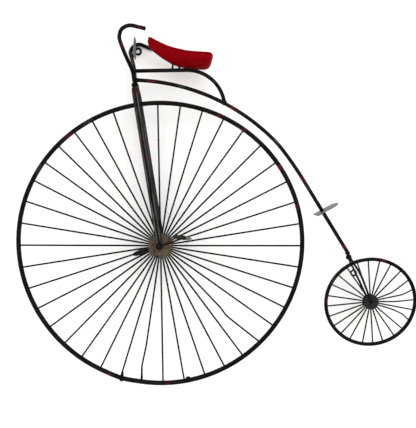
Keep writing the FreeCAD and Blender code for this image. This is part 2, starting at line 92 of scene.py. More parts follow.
FRONT_RIM = at(-0.0005, 0, 0.0081)


# ---------------------------------------------------------------- sizes and colours

class SculptureSizes(bpy.types.PropertyGroup):
    """Sizes of rods, wires, beads and sheet, with how uneven the handwork is."""
    frame_rod: bpy.props.FloatProperty(
        name="Frame rod", description="Diameter of stem, backbone, saddle rail and handlebars",
        default=0.010, unit="LENGTH", precision=4)
    fork_rod: bpy.props.FloatProperty(
        name="Fork rod", description="Diameter of the front fork's rods",
        default=0.008, unit="LENGTH", precision=4)
    rear_blade: bpy.props.FloatProperty(
        name="Rear blade", description="Diameter of the rear fork's blades",
        default=0.0055, unit="LENGTH", precision=4)
    front_rim_rod: bpy.props.FloatProperty(
        name="Large rim rod", description="Diameter of the large rim's rod",
        default=0.012, unit="LENGTH", precision=4)
    rear_rim_rod: bpy.props.FloatProperty(
        name="Small rim rod", description="Diameter of the small rim's rod",
        default=0.0095, unit="LENGTH", precision=4)
    front_spoke: bpy.props.FloatProperty(
        name="Large wheel's wire", description="Diameter of the large wheel's spokes over their paint",
        default=0.0045, unit="LENGTH", precision=4)
    rear_spoke: bpy.props.FloatProperty(
        name="Small wheel's wire", description="Diameter of the small wheel's spokes over their paint",
        default=0.0037, unit="LENGTH", precision=4)
    crank_rod: bpy.props.FloatProperty(
        name="Crank rod", description="Diameter of cranks and pedal spindles",
        default=0.005, unit="LENGTH", precision=4)
    rod_step: bpy.props.FloatProperty(
        name="Rod step", description="Length of one ring of faces along a rod",
        default=0.0025, unit="LENGTH", precision=4)
    rod_sides: bpy.props.IntProperty(
        name="Rod sides", description="Faces round a rod", default=20, min=8, max=64)
    unevenness: bpy.props.FloatProperty(
        name="Unevenness", description="How far paint and hammer marks move a rod's surface",
        default=0.00022, unit="LENGTH", precision=5)
    seat_bead: bpy.props.FloatProperty(
        name="Seat bead", description="Radius of the bead where a spoke meets its rim",
        default=0.0024, unit="LENGTH", precision=4)
    saddle_sheet: bpy.props.FloatProperty(
        name="Saddle sheet", description="Wall of the hollow saddle",
        default=0.0016, unit="LENGTH", precision=4)
    plate: bpy.props.FloatProperty(
        name="Plate", description="Thickness of the small plates",
        default=0.002, unit="LENGTH", precision=4)


def colour(name, meaning, value):
    """A colour that can be changed in the panel."""
    return bpy.props.FloatVectorProperty(name=name, description=meaning, default=value,
                                         subtype="COLOR", size=3, min=0.0, max=1.0)


class SculptureColours(bpy.types.PropertyGroup):
    """Colours of paint, worn places, bare plates and the room."""
    black: colour("Black paint", "Main coat on rods and spokes", (0.0015, 0.0014, 0.0016))
    black_worn: colour("Thin black", "Black where the coat is thin", (0.0052, 0.0048, 0.0053))
    maroon: colour("Maroon dab", "Undercoat that shows through on rods", (0.070, 0.005, 0.012))
    green: colour("Grey-green dab", "Grey-green film on rods", (0.026, 0.036, 0.031))
    bronze: colour("Hub bronze", "Discs of the large hub", (0.052, 0.036, 0.024))
    hub_dark: colour("Dark hub", "Discs of the small hub", (0.006, 0.006, 0.009))
    plate: colour("Plate grey", "Bare small plates", (0.085, 0.088, 0.084))
    saddle: colour("Saddle red", "Gloss coat of the saddle", (0.196, 0.0004, 0.0028))
    wall: colour("Wall", "Wall and floor", (0.965, 0.962, 0.950))


def sizes():
    return bpy.context.scene.sculpture_sizes


def colours():
    return bpy.context.scene.sculpture_colours


# ---------------------------------------------------------------- finishes

class Finish:
    """One procedural material. Patterns read Object coordinates, which are the part's own frame."""

    def __init__(self, name, **constants):
        self.material = bpy.data.materials.new(name)
        self.material.use_nodes = True
        self.tree = self.material.node_tree
        self.tree.nodes.clear()
        self.shader = self.add("ShaderNodeBsdfPrincipled")
        output = self.add("ShaderNodeOutputMaterial")
        self.join(self.shader.outputs["BSDF"], output.inputs["Surface"])
        for socket, value in constants.items():
            self.shader.inputs[socket.replace("_", " ")].default_value = value
        self.place = self.add("ShaderNodeTexCoord").outputs["Object"]

    def add(self, kind, **settings):
        node = self.tree.nodes.new(kind)
        for key, value in settings.items():
            setattr(node, key, value)
        return node

    def join(self, source, target):
        self.tree.links.new(source, target)

    def speckle(self, scale, low, high, detail=4.0, stretch=None, lean=0.0):
        """Noise cut to 0..1 between two of its levels; stretch draws it out, lean turns it about Y."""
        place = self.place
        if stretch:
            mapping = self.add("ShaderNodeMapping", vector_type="TEXTURE")
            mapping.inputs["Scale"].default_value = stretch
            mapping.inputs["Rotation"].default_value = (0.0, lean, 0.0)
            self.join(place, mapping.inputs["Vector"])
            place = mapping.outputs["Vector"]
        pattern = self.add("ShaderNodeTexNoise")
        pattern.inputs["Scale"].default_value = scale
        pattern.inputs["Detail"].default_value = detail
        self.join(place, pattern.inputs["Vector"])
        return self.spread(pattern.outputs["Fac"], low, high, 0.0, 1.0)

    def spread(self, value, low, high, to_low, to_high):
        """Value from one range moved to another, and kept inside it."""
        ranged = self.add("ShaderNodeMapRange", clamp=True)
        self.join(value, ranged.inputs["Value"])
        for socket, number in (("From Min", low), ("From Max", high),
                               ("To Min", to_low), ("To Max", to_high)):
            ranged.inputs[socket].default_value = number
        return ranged.outputs["Result"]

    def times(self, first, second):
        product = self.add("ShaderNodeMath", operation="MULTIPLY")
        self.join(first, product.inputs[0])
        self.join(second, product.inputs[1])
        return product.outputs["Value"]

    def marked(self, attribute):
        """Value that the mesh carries, such as how worn a place is."""
        node = self.add("ShaderNodeAttribute", attribute_name=attribute)
        return node.outputs["Fac"]

    def mixed(self, factor, first, second):
        """Colour between two others; each is a socket or a plain colour."""
        mix = self.add("ShaderNodeMix", data_type="RGBA")
        self.join(factor, mix.inputs["Factor"])
        for key, value in (("A", first), ("B", second)):
            socket = next(s for s in mix.inputs if s.name == key and s.type == "RGBA")
            if isinstance(value, bpy.types.NodeSocket):
                self.join(value, socket)
            else:
                socket.default_value = (*value, 1.0)
        return next(s for s in mix.outputs if s.type == "RGBA")

    def paint(self, base, roughness, bumps):
        """Join colour, roughness and a chain of bumps, each (height socket, depth in metres)."""
        self.join(base, self.shader.inputs["Base Color"])
        self.join(roughness, self.shader.inputs["Roughness"])
        normal = None
        for height, depth in bumps:
            bump = self.add("ShaderNodeBump")
            bump.inputs["Distance"].default_value = depth
            bump.inputs["Strength"].default_value = 1.0
            self.join(height, bump.inputs["Height"])
            if normal:
                self.join(normal, bump.inputs["Normal"])
            normal = bump.outputs["Normal"]
        self.join(normal, self.shader.inputs["Normal"])
        return self.material


def black_paint():
    """Brushed black paint with thin places, maroon and grey-green dabs, drips and dust."""
    f = Finish("black_paint", Specular_IOR_Level=0.06)
    base = f.mixed(f.speckle(38, 0.42, 0.66), colours().black, colours().black_worn)
    maroon = f.times(f.marked("maroon_dab"), f.speckle(190, 0.36, 0.52, 6.0))
    base = f.mixed(maroon, base, colours().maroon)
    green = f.times(f.marked("green_wear_and_lit_face"), f.speckle(240, 0.38, 0.54, 6.0))
    base = f.mixed(green, base, colours().green)
    rough = f.spread(f.speckle(120, 0.3, 0.7), 0.0, 1.0, 0.34, 0.50)
    return f.paint(base, rough, [(f.speckle(95, 0.2, 0.8), 0.00045), (f.speckle(620, 0.2, 0.8), 0.00012)])


def fork_black():
    """The same black on the fork rods, with painted highlight streaks in grey-green along the side of each
    rod that faces the room.
    """
    f = Finish("fork_black", Specular_IOR_Level=0.10)
    lean = -math.atan(rake_slope())
    base = f.mixed(f.speckle(38, 0.42, 0.66), colours().black, colours().black_worn)
    # painted highlight: lighter grey-green streaks on the strip of each rod that faces the room, standing in
    # for light along the rod
    painted_highlight_streaks = f.times(f.marked("painted_highlight_strip"), f.speckle(150, 0.34, 0.56, 3.0, (1.0, 1.0, 9.0), lean))
    base = f.mixed(painted_highlight_streaks, base, (0.062, 0.072, 0.066))
    maroon = f.times(f.marked("maroon_dab"), f.speckle(300, 0.46, 0.58, 4.0, (1.0, 1.0, 5.0), lean))
    base = f.mixed(maroon, base, colours().maroon)
    green = f.times(f.marked("green_wear_and_lit_face"), f.speckle(260, 0.44, 0.58, 4.0, (1.0, 1.0, 8.0), lean))
    base = f.mixed(green, base, (0.075, 0.092, 0.080))
    rough = f.spread(f.speckle(120, 0.3, 0.7), 0.0, 1.0, 0.30, 0.46)
    return f.paint(base, rough, [(f.speckle(95, 0.2, 0.8), 0.00045), (f.speckle(620, 0.2, 0.8), 0.00012)])


def spoke_black():
    """Thin black coat on drawn wire, greyer and drier than the rods."""
    f = Finish("spoke_black", Specular_IOR_Level=0.04)
    base = f.mixed(f.speckle(60, 0.40, 0.62), colours().black, colours().black_worn)
    base = f.mixed(f.speckle(23, 0.60, 0.68, 2.0), base, (0.022, 0.006, 0.008))
    rough = f.spread(f.speckle(300, 0.3, 0.7), 0.0, 1.0, 0.42, 0.60)
    return f.paint(base, rough, [(f.speckle(700, 0.2, 0.8), 0.00012)])


def weld_black():
    """Black paint over lumpy weld metal, with rust-brown patches."""
    f = Finish("weld_black", Specular_IOR_Level=0.07)
    base = f.mixed(f.speckle(260, 0.45, 0.62), colours().black, colours().black_worn)
    base = f.mixed(f.speckle(150, 0.60, 0.70), base, (0.040, 0.012, 0.008))
    rough = f.spread(f.speckle(420, 0.3, 0.7), 0.0, 1.0, 0.38, 0.62)
    return f.paint(base, rough, [(f.speckle(340, 0.2, 0.8), 0.0006), (f.speckle(1100, 0.2, 0.8), 0.00015)])


def bronze_film():
    """Brown-bronze film over steel, mottled like old flame colour."""
    f = Finish("bronze_film", Metallic=0.1, Specular_IOR_Level=0.2)
    base = f.mixed(f.speckle(120, 0.38, 0.64, 6.0), colours().bronze, (0.092, 0.068, 0.044))
    base = f.mixed(f.speckle(70, 0.52, 0.66), base, (0.012, 0.009, 0.009))
    base = f.mixed(f.speckle(420, 0.60, 0.70), base, (0.075, 0.020, 0.012))
    rough = f.spread(f.speckle(220, 0.3, 0.7), 0.0, 1.0, 0.46, 0.70)
    return f.paint(base, rough, [(f.speckle(260, 0.2, 0.8), 0.0005), (f.speckle(900, 0.2, 0.8), 0.00018)])


def dark_film():
    """Near-black film with a faint cool sheen in patches."""
    f = Finish("dark_film", Specular_IOR_Level=0.12)
    base = f.mixed(f.speckle(150, 0.40, 0.62, 5.0), colours().hub_dark, (0.012, 0.016, 0.016))
    base = f.mixed(f.speckle(90, 0.55, 0.68), base, (0.016, 0.009, 0.018))
    rough = f.spread(f.speckle(260, 0.3, 0.7), 0.0, 1.0, 0.36, 0.58)
    return f.paint(base, rough, [(f.speckle(300, 0.2, 0.8), 0.0004), (f.speckle(900, 0.2, 0.8), 0.00014)])


def bare_plate():
    """Bare steel plate, scratched along its length and darker where paint has run."""
    f = Finish("bare_plate", Metallic=0.1, Specular_IOR_Level=0.2)
    base = f.mixed(f.speckle(90, 0.35, 0.65, 5.0), colours().plate, (0.150, 0.155, 0.140))
    base = f.mixed(f.speckle(60, 0.58, 0.70), base, (0.030, 0.020, 0.016))
    scratches = f.speckle(160, 0.35, 0.65, 3.0, stretch=(1.0, 0.11, 1.0))
    rough = f.spread(scratches, 0.0, 1.0, 0.34, 0.55)
    return f.paint(base, rough, [(scratches, 0.00012), (f.speckle(240, 0.2, 0.8), 0.0003)])


def tread_film():
    """Near-black film with rust-brown patches, and a painted highlight in grey-green where it is marked,
    standing in for the near pedal's lit top face.
    """
    f = Finish("tread_film", Specular_IOR_Level=0.12)
    base = f.mixed(f.speckle(140, 0.40, 0.62, 5.0), (0.007, 0.006, 0.005), (0.024, 0.018, 0.011))
    # painted highlight: bright grey-green where the pedal's top face catches the light
    painted_lit_face = f.times(f.marked("green_wear_and_lit_face"), f.speckle(210, 0.28, 0.50, 4.0))
    base = f.mixed(painted_lit_face, base, (0.190, 0.200, 0.155))
    rough = f.spread(f.speckle(260, 0.3, 0.7), 0.0, 1.0, 0.40, 0.60)
    return f.paint(base, rough, [(f.speckle(300, 0.2, 0.8), 0.0004), (f.speckle(900, 0.2, 0.8), 0.00014)])


def saddle_gloss():
    """Deep gloss red with faint orange peel, brush shade and a few dust nibs."""
    f = Finish("saddle_gloss", Specular_IOR_Level=0.0, Coat_Weight=0.035, Coat_Roughness=0.12)
    base = f.mixed(f.speckle(16, 0.36, 0.66, 3.0), colours().saddle, (0.160, 0.0003, 0.0020))
    base = f.mixed(f.speckle(520, 0.68, 0.76), base, (0.23, 0.010, 0.010))
    rough = f.spread(f.speckle(40, 0.3, 0.7), 0.0, 1.0, 0.24, 0.36)
    bumps = [(f.speckle(330, 0.2, 0.8, 2.0), 0.00009), (f.speckle(34, 0.2, 0.8), 0.0008)]
    return f.paint(base, rough, bumps)


def turned_steel():
    """Dull turned steel with dark grease film."""
    f = Finish("turned_steel", Metallic=0.8, Specular_IOR_Level=0.5)
    base = f.mixed(f.speckle(180, 0.40, 0.62), (0.10, 0.095, 0.088), (0.035, 0.028, 0.024))
    rings = f.speckle(300, 0.3, 0.7, 2.0, stretch=(5.0, 0.125, 5.0))
    return f.paint(base, f.spread(rings, 0.0, 1.0, 0.32, 0.5), [(rings, 0.00008)])


def wall_plaster():
    """Smooth pale wall with a faint roller texture."""
    f = Finish("wall_plaster", Specular_IOR_Level=0.2)
    tint = colours().wall
    base = f.mixed(f.speckle(1.4, 0.35, 0.65, 2.0), tint, tuple(part * 0.985 for part in tint))
    rough = f.spread(f.speckle(3.0, 0.3, 0.7), 0.0, 1.0, 0.85, 0.95)
    return f.paint(base, rough, [(f.speckle(220, 0.2, 0.8), 0.0002)])


MAKERS = {maker.__name__: maker for maker in (
    black_paint, fork_black, spoke_black, weld_black, bronze_film, dark_film, bare_plate, tread_film,
    saddle_gloss,
    turned_steel, wall_plaster)}
made_finishes = {}


def finish(name):
    """The finish of that name, made when it is first asked for."""
    if name not in made_finishes:
        made_finishes[name] = MAKERS[name]()
    return made_finishes[name]


# ---------------------------------------------------------------- paths

def rounded_route(points, share=0.45, turn_points=9):
    """Straight runs through places near the axle, each corner rounded by a tangent arc."""
    corners = [at(*point) for point in points]
    route = [corners[0]]
    for before, corner, after in zip(corners, corners[1:], corners[2:]):
        back = (before - corner)
        onward = (after - corner)
        setback = share * min(back.length, onward.length)
        back.normalize()
        onward.normalize()
        half_turn = (math.pi - back.angle(onward)) / 2
        inward = (back + onward).normalized()
        radius = setback / math.tan(half_turn)
        hub = corner + inward * (radius / math.cos(half_turn))
        side = (back - inward * back.dot(inward)).normalized()
        for step in range(turn_points):
            swing = half_turn * (1 - 2 * step / (turn_points - 1))
            route.append(hub - inward * radius * math.cos(swing) + side * radius * math.sin(swing))
    route.append(corners[-1])
    return route


def bent_route(start, heading, runs, step=0.006):
    """Path in the wheels' plane: each run is (length, turn in degrees)."""
    here = np.array(start, float)
    angle = math.radians(heading)
    route = [at(here[0], 0, here[1])]
    for length, turn in runs:
        count = max(2, round(length / step))
        for _ in range(count):
            aim = angle + math.radians(turn) / count / 2
            here = here + np.array((math.cos(aim), math.sin(aim))) * length / count
            route.append(at(here[0], 0, here[1]))
            angle += math.radians(turn) / count
    return route


def rim_route(centre, long_half, short_half, tilt, swell=(0.0, 0.0), corner=None, count=240):
    """Closed hand-bent ring; swell is the height and direction of three low swells round it, and
    corner the (angle, height, half spread in degrees) of a flat weld joint."""
    route = []
    for number in range(count):
        angle = 360 * number / count
        turned = math.radians(angle - tilt)
        reach = long_half * short_half / math.hypot(
            short_half * math.cos(turned), long_half * math.sin(turned))
        reach += swell[0] * math.cos(math.radians(3 * (angle - swell[1])))
        if corner:
            away = abs((angle - corner[0] + 180) % 360 - 180)
            reach += corner[1] * max(0.0, 1 - away / corner[2])
        swing = math.radians(angle)
        route.append(centre + Vector((math.cos(swing), 0, math.sin(swing))) * reach)
    return route


# ---------------------------------------------------------------- meshes

def loose_copy(node):
    """A CAD node's mesh with its doubles merged."""
    shape = bmesh.new()
    shape.from_mesh(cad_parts[node].data)
    bmesh.ops.remove_doubles(shape, verts=shape.verts, dist=1e-5)
    return shape


def islands(node):
    """Vertex places of each separate solid in a CAD node, in the order of their first vertices."""
    shape = loose_copy(node)
    waiting = dict.fromkeys(shape.verts)
    found = []
    while waiting:
        first = next(iter(waiting))
        del waiting[first]
        front = [first]
        members = []
        while front:
            vertex = front.pop()
            members.append(tuple(vertex.co))
            for edge in vertex.link_edges:
                other = edge.other_vert(vertex)
                if other in waiting:
                    del waiting[other]
                    front.append(other)
        found.append(np.array(members))
    shape.free()
    return found


def wire_line(points, hub, gap=0.0008):
    """Centreline of one wire, from the hub outwards, read from the rings of its CAD mesh."""
    far = points[np.argmax(np.linalg.norm(points - hub, axis=1))]
    along = (far - hub) / np.linalg.norm(far - hub)
    order = np.argsort((points - hub) @ along)
    reach = ((points - hub) @ along)[order]
    breaks = np.flatnonzero(np.diff(reach) > gap) + 1
    return [Vector(group.mean(axis=0)) for group in np.split(points[order], breaks)]


def edge_mesh(name, lines, closed=False, marks=None):
    """Mesh of edges only, one chain per line; marks are values on its points."""
    mesh = bpy.data.meshes.new(name)
    places = [tuple(point) for line in lines for point in line]
    edges = []
    start = 0
    for line in lines:
        edges += [(start + n, start + n + 1) for n in range(len(line) - 1)]
        if closed:
            edges.append((start + len(line) - 1, start))
        start += len(line)
    mesh.from_pydata(places, edges, [])
    if marks is not None:
        attribute = mesh.attributes.new("seat", "FLOAT", "POINT")
        attribute.data.foreach_set("value", marks)
    return mesh


ROD_INPUTS = (
    ("Diameter", "NodeSocketFloat"),
    ("Sides", "NodeSocketInt"),
    ("Step", "NodeSocketFloat"),
    ("Unevenness", "NodeSocketFloat"),
    ("Bead", "NodeSocketFloat"),
    ("Seed", "NodeSocketInt"),
    ("Material", "NodeSocketMaterial"),
)


def rod_tree():
    """Geometry Nodes: a rod along every chain of edges, uneven by hand, with a bead at each seat."""
    found = bpy.data.node_groups.get("bent_rod")
    if found:
        return found
    tree = bpy.data.node_groups.new("bent_rod", "GeometryNodeTree")
    tree.interface.new_socket("Geometry", in_out="INPUT", socket_type="NodeSocketGeometry")
    for label, kind in ROD_INPUTS:
        tree.interface.new_socket(label, in_out="INPUT", socket_type=kind)
    tree.interface.new_socket("Geometry", in_out="OUTPUT", socket_type="NodeSocketGeometry")

    def add(kind, **settings):
        node = tree.nodes.new(kind)
        for key, value in settings.items():
            setattr(node, key, value)
        return node

    def join(source, target):
        tree.links.new(source, target)

    given = add("NodeGroupInput").outputs
    line = add("GeometryNodeMeshToCurve")
    join(given["Geometry"], line.inputs["Mesh"])
    evenly = add("GeometryNodeResampleCurve", mode="LENGTH")
    join(line.outputs["Curve"], evenly.inputs["Curve"])
    join(given["Step"], evenly.inputs["Length"])
    half = add("ShaderNodeMath", operation="MULTIPLY")
    half.inputs[1].default_value = 0.5
    join(given["Diameter"], half.inputs[0])
    section = add("GeometryNodeCurvePrimitiveCircle", mode="RADIUS")
    join(given["Sides"], section.inputs["Resolution"])
    join(half.outputs["Value"], section.inputs["Radius"])
    rod = add("GeometryNodeCurveToMesh")
    rod.inputs["Fill Caps"].default_value = True
    join(evenly.outputs["Curve"], rod.inputs["Curve"])
    join(section.outputs["Curve"], rod.inputs["Profile Curve"])

    lumps = add("ShaderNodeTexNoise", noise_dimensions="4D")
    lumps.inputs["Scale"].default_value = 75.0
    lumps.inputs["Detail"].default_value = 3.0
    join(given["Seed"], lumps.inputs["W"])
    signed = add("ShaderNodeMath", operation="SUBTRACT")
    signed.inputs[1].default_value = 0.5
    join(lumps.outputs["Fac"], signed.inputs[0])
    depth = add("ShaderNodeMath", operation="MULTIPLY")
    join(signed.outputs["Value"], depth.inputs[0])
    join(given["Unevenness"], depth.inputs[1])
    outward = add("GeometryNodeInputNormal")
    push = add("ShaderNodeVectorMath", operation="SCALE")
    join(outward.outputs["Normal"], push.inputs["Vector"])
    join(depth.outputs["Value"], push.inputs["Scale"])
    moved = add("GeometryNodeSetPosition")
    join(rod.outputs["Mesh"], moved.inputs["Geometry"])
    join(push.outputs["Vector"], moved.inputs["Offset"])

    seat = add("GeometryNodeInputNamedAttribute", data_type="FLOAT")
    seat.inputs["Name"].default_value = "seat"
    is_seat = add("FunctionNodeCompare", data_type="FLOAT", operation="GREATER_THAN")
    is_seat.inputs["B"].default_value = 0.5
    join(seat.outputs["Attribute"], is_seat.inputs["A"])
    spots = add("GeometryNodeMeshToPoints")
    join(given["Geometry"], spots.inputs["Mesh"])
    join(is_seat.outputs["Result"], spots.inputs["Selection"])
    bead = add("GeometryNodeMeshIcoSphere")
    bead.inputs["Subdivisions"].default_value = 2
    join(given["Bead"], bead.inputs["Radius"])
    shrink = add("FunctionNodeRandomValue", data_type="FLOAT_VECTOR")
    shrink.inputs["Min"].default_value = (0.75, 0.75, 0.75)
    shrink.inputs["Max"].default_value = (1.2, 1.1, 1.3)
    join(given["Seed"], shrink.inputs["Seed"])
    turn = add("FunctionNodeRandomValue", data_type="FLOAT_VECTOR")
    turn.inputs["Max"].default_value = (math.tau, math.tau, math.tau)
    join(given["Seed"], turn.inputs["Seed"])
    placed = add("GeometryNodeInstanceOnPoints")
    join(spots.outputs["Points"], placed.inputs["Points"])
    join(bead.outputs["Mesh"], placed.inputs["Instance"])
    join(shrink.outputs["Value"], placed.inputs["Scale"])
    join(turn.outputs["Value"], placed.inputs["Rotation"])

    together = add("GeometryNodeJoinGeometry")
    join(placed.outputs["Instances"], together.inputs["Geometry"])
    join(moved.outputs["Geometry"], together.inputs["Geometry"])
    real = add("GeometryNodeRealizeInstances")
    join(together.outputs["Geometry"], real.inputs["Geometry"])
    coated = add("GeometryNodeSetMaterial")
    join(real.outputs["Geometry"], coated.inputs["Geometry"])
    join(given["Material"], coated.inputs["Material"])
    result = add("NodeGroupOutput")
    join(coated.outputs["Geometry"], result.inputs["Geometry"])
    return tree


def show(name, mesh, body, replaced=(), smooth_angle=40.0):
    """Put a finished mesh in the scene as one piece that rides on a body."""
    mesh.name = name
    for polygon in mesh.polygons:
        polygon.use_smooth = True
    mesh.set_sharp_from_angle(angle=math.radians(smooth_angle))
    piece = bpy.data.objects.new(name, mesh)
    bpy.context.scene.collection.objects.link(piece)
    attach(piece, body)
    if replaced:
        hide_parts(*replaced)
    return piece


def outward_faces(shape):
    """Merge a closed shape's doubles and turn its faces outwards."""
    bmesh.ops.remove_doubles(shape, verts=shape.verts, dist=1e-6)
    bmesh.ops.recalc_face_normals(shape, faces=shape.faces)


def plain_mesh(source):
    """Final mesh of an object with its modifiers; the object itself is removed."""
    bpy.context.view_layer.update()
    depsgraph = bpy.context.evaluated_depsgraph_get()
    mesh = bpy.data.meshes.new_from_object(source.evaluated_get(depsgraph), depsgraph=depsgraph)
    source.modifiers.clear()
    bpy.data.objects.remove(source)
    shape = bmesh.new()
    shape.from_mesh(mesh)
    outward_faces(shape)
    shape.to_mesh(mesh)
    shape.free()
    for attribute in list(mesh.attributes):
        if attribute.name in ("seat", "UVMap"):
            mesh.attributes.remove(attribute)
    return mesh


def rod_mesh(name, lines, diameter, material, seed, closed=False, marks=None, step=None, sides=None,
             uneven=1.0):
    """Rods along one or more lines, made by the bent_rod tree, as a plain mesh."""
    source = bpy.data.objects.new(name, edge_mesh(name, lines, closed, marks))
    bpy.context.scene.collection.objects.link(source)
    modifier = source.modifiers.new("rod", "NODES")
    modifier.node_group = rod_tree()
    values = {
        "Diameter": diameter,
        "Sides": sides or sizes().rod_sides,
        "Step": step or sizes().rod_step,
        "Unevenness": sizes().unevenness * 2 * uneven,
        "Bead": sizes().seat_bead if marks is not None else 0.0,
        "Seed": seed,
        "Material": finish(material),
    }
    for socket in modifier.node_group.interface.items_tree:
        if socket.name in values:
            modifier[socket.identifier] = values[socket.name]
    if not closed:
        chamfer = source.modifiers.new("chamfer", "BEVEL")
        chamfer.width = diameter * 0.06
        chamfer.segments = 2
        chamfer.limit_method = "ANGLE"
        chamfer.angle_limit = math.radians(60)
    return plain_mesh(source)


def painted_highlight_strip(mesh):
    """Mark the strip along a rod that faces the room, where a painted highlight goes."""
    shape = bmesh.new()
    shape.from_mesh(mesh)
    shape.normal_update()
    facing = [min(max((-point.normal.y - 0.86) / 0.12, 0.0), 1.0) for point in shape.verts]
    shape.free()
    mesh.attributes.new("painted_highlight_strip", "FLOAT", "POINT").data.foreach_set("value", facing)
    return mesh


def dabs(mesh, maroon=(), green=()):
    """Mark worn places on a mesh, and the near pedal's painted highlight; each is (place, radius)."""
    places = np.empty(len(mesh.vertices) * 3)
    mesh.vertices.foreach_get("co", places)
    places = places.reshape(-1, 3)
    for label, spots in (("maroon_dab", maroon), ("green_wear_and_lit_face", green)):
        worn = np.zeros(len(places))
        for spot, radius in spots:
            away = np.linalg.norm(places - np.array(spot), axis=1)
            worn = np.maximum(worn, np.clip(1.2 - 1.4 * away / radius, 0, 0.8))
        attribute = mesh.attributes.new(label, "FLOAT", "POINT")
        attribute.data.foreach_set("value", worn.astype(np.float32))
    return mesh


def add_lump(shape, centre, radii, seed, rough=0.16, ripples=0.0, turned=None):
    """Weld lump: a rounded blob with an uneven, rippled skin."""
    made = bmesh.ops.create_icosphere(shape, subdivisions=4, radius=1.0)["verts"]
    turned = turned or Matrix.Identity(3)
    for vertex in made:
        ray = vertex.co.normalized()
        swell = 1 + rough * noise.noise(ray * 1.6 + Vector((seed, 0, 0)))
        swell += rough * 0.45 * noise.noise(ray * 4.5 + Vector((0, seed, 0)))
        swell += ripples * math.sin(ray.x * 14 + noise.noise(ray * 2) * 2)
        local = Vector((ray.x * radii[0], ray.y * radii[1], ray.z * radii[2])) * swell
        vertex.co = centre + turned @ local


def lump_mesh(name, lumps, material="weld_black"):
    """Mesh of several weld lumps."""
    shape = bmesh.new()
    for lump in lumps:
        add_lump(shape, *lump)
    bmesh.ops.recalc_face_normals(shape, faces=shape.faces)
    mesh = bpy.data.meshes.new(name)
    shape.to_mesh(mesh)
    shape.free()
    mesh.materials.append(finish(material))
    return mesh


def turned_mesh(name, profile, centre, material, sides=72, uneven=0.0, seed=0.0):
    """Closed ring turned about the wheels' axis from a closed profile of (radius, depth) points."""
    mesh = bpy.data.meshes.new(name)
    places = []
    for side in range(sides):
        swing = math.tau * side / sides
        for radius, depth in profile:
            place = Vector((radius * math.cos(swing), depth, radius * math.sin(swing)))
            push = uneven * noise.noise(place * 130 + Vector((seed, 0, 0)))
            places.append(tuple(centre + place + Vector((0, push, 0))))
    count = len(profile)
    faces = []
    for side in range(sides):
        after = (side + 1) % sides
        for n in range(count):
            m = (n + 1) % count
            faces.append((side * count + n, after * count + n, after * count + m, side * count + m))
    mesh.from_pydata(places, [], faces)
    shape = bmesh.new()
    shape.from_mesh(mesh)
    outward_faces(shape)
    shape.to_mesh(mesh)
    shape.free()
    mesh.materials.append(finish(material))
    return mesh


def bevelled_ring(outer, bore, low, high, edge, rows=1):
    """Profile of a flat ring with softened edges; rows split its faces for an uneven skin."""
    across = [bore + edge + (outer - bore - 2 * edge) * n / rows for n in range(rows + 1)]
    face = [(radius, low) for radius in across]
    back = [(radius, high) for radius in reversed(across)]
    return face + [(outer - edge * 0.3, low + edge * 0.3), (outer, low + edge), (outer, high - edge),
                   (outer - edge * 0.3, high - edge * 0.3)] + back + [
                       (bore, high - edge), (bore, low + edge)]


# ---------------------------------------------------------------- operators

def rake_slope():
    """How far stem and fork lean forward for each metre of height."""
    top = middle("stem")
    foot = at(0.0007, 0, 0)
    return (foot.x - top.x) / (top.z - foot.z)


def rake_point(height, forward=0.0, depth=0.0):
    """Place on the raked line of stem and fork, stepped forward across it and in depth."""
    lean = rake_slope()
    rake = math.atan(lean)
    return (0.0007 - height * lean + forward * math.cos(rake), depth, height + forward * math.sin(rake))


class SCULPTURE_OT_main_rods(bpy.types.Operator):
    """Make the stem, the backbone, the saddle rail and its posts"""
    bl_idname = "sculpture.main_rods"
    bl_label = "Main rods"
    bl_options = {"REGISTER", "UNDO"}

    def execute(self, context):
        stem = [at(*rake_point(0.402)), at(*rake_point(0.470))]
        mesh = rod_mesh("stem_rod", [stem], sizes().frame_rod, "black_paint", 3)
        show("stem_rod", dabs(mesh), "frame", ["stem"])

        start = (rake_point(0.4295)[0] + 0.0035, 0.4302)
        runs = [(0.3938, -42.8), (0.044, -8.1), (0.092, -6.1), (0.227, 0.0)]
        route = bent_route(start, -1.6, runs)
        mesh = rod_mesh("backbone_rod", [route], sizes().frame_rod, "black_paint", 7)
        maroon = [(at(-0.024, -0.005, 0.427), 0.017), (at(0.190, -0.005, 0.357), 0.024),
                  (at(0.370, -0.005, 0.173), 0.020), (at(0.474, -0.005, -0.004), 0.016)]
        green = [(at(0.054, -0.005, 0.415), 0.016), (at(0.300, -0.005, 0.269), 0.020),
                 (at(0.385, -0.005, 0.151), 0.016)]
        show("backbone_rod", dabs(mesh, maroon, green), "frame", ["backbone"])

        start = (rake_point(0.455)[0] + 0.0035, 0.4541)
        route = bent_route(start, 0.9, [(0.1357, 0.0), (0.1452, -84.9)])
        mesh = rod_mesh("saddle_rail_rod", [route], sizes().frame_rod, "black_paint", 11)
        show("saddle_rail_rod", dabs(mesh, green=[(at(0.139, -0.004, 0.425), 0.010)]), "frame",
             ["saddle_rail"])

        for place in ("front", "rear"):
            node = f"saddle_post_{place}"
            low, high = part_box(node)
            centre = (low + high) / 2
            line = [Vector((centre.x, centre.y, low.z)), Vector((centre.x, centre.y, high.z))]
            name = f"{place}_saddle_post"
            mesh = rod_mesh(name, [line], high.x - low.x, "black_paint", 13, step=0.001)
            show(name, dabs(mesh), "frame", [node])
        return {"FINISHED"}


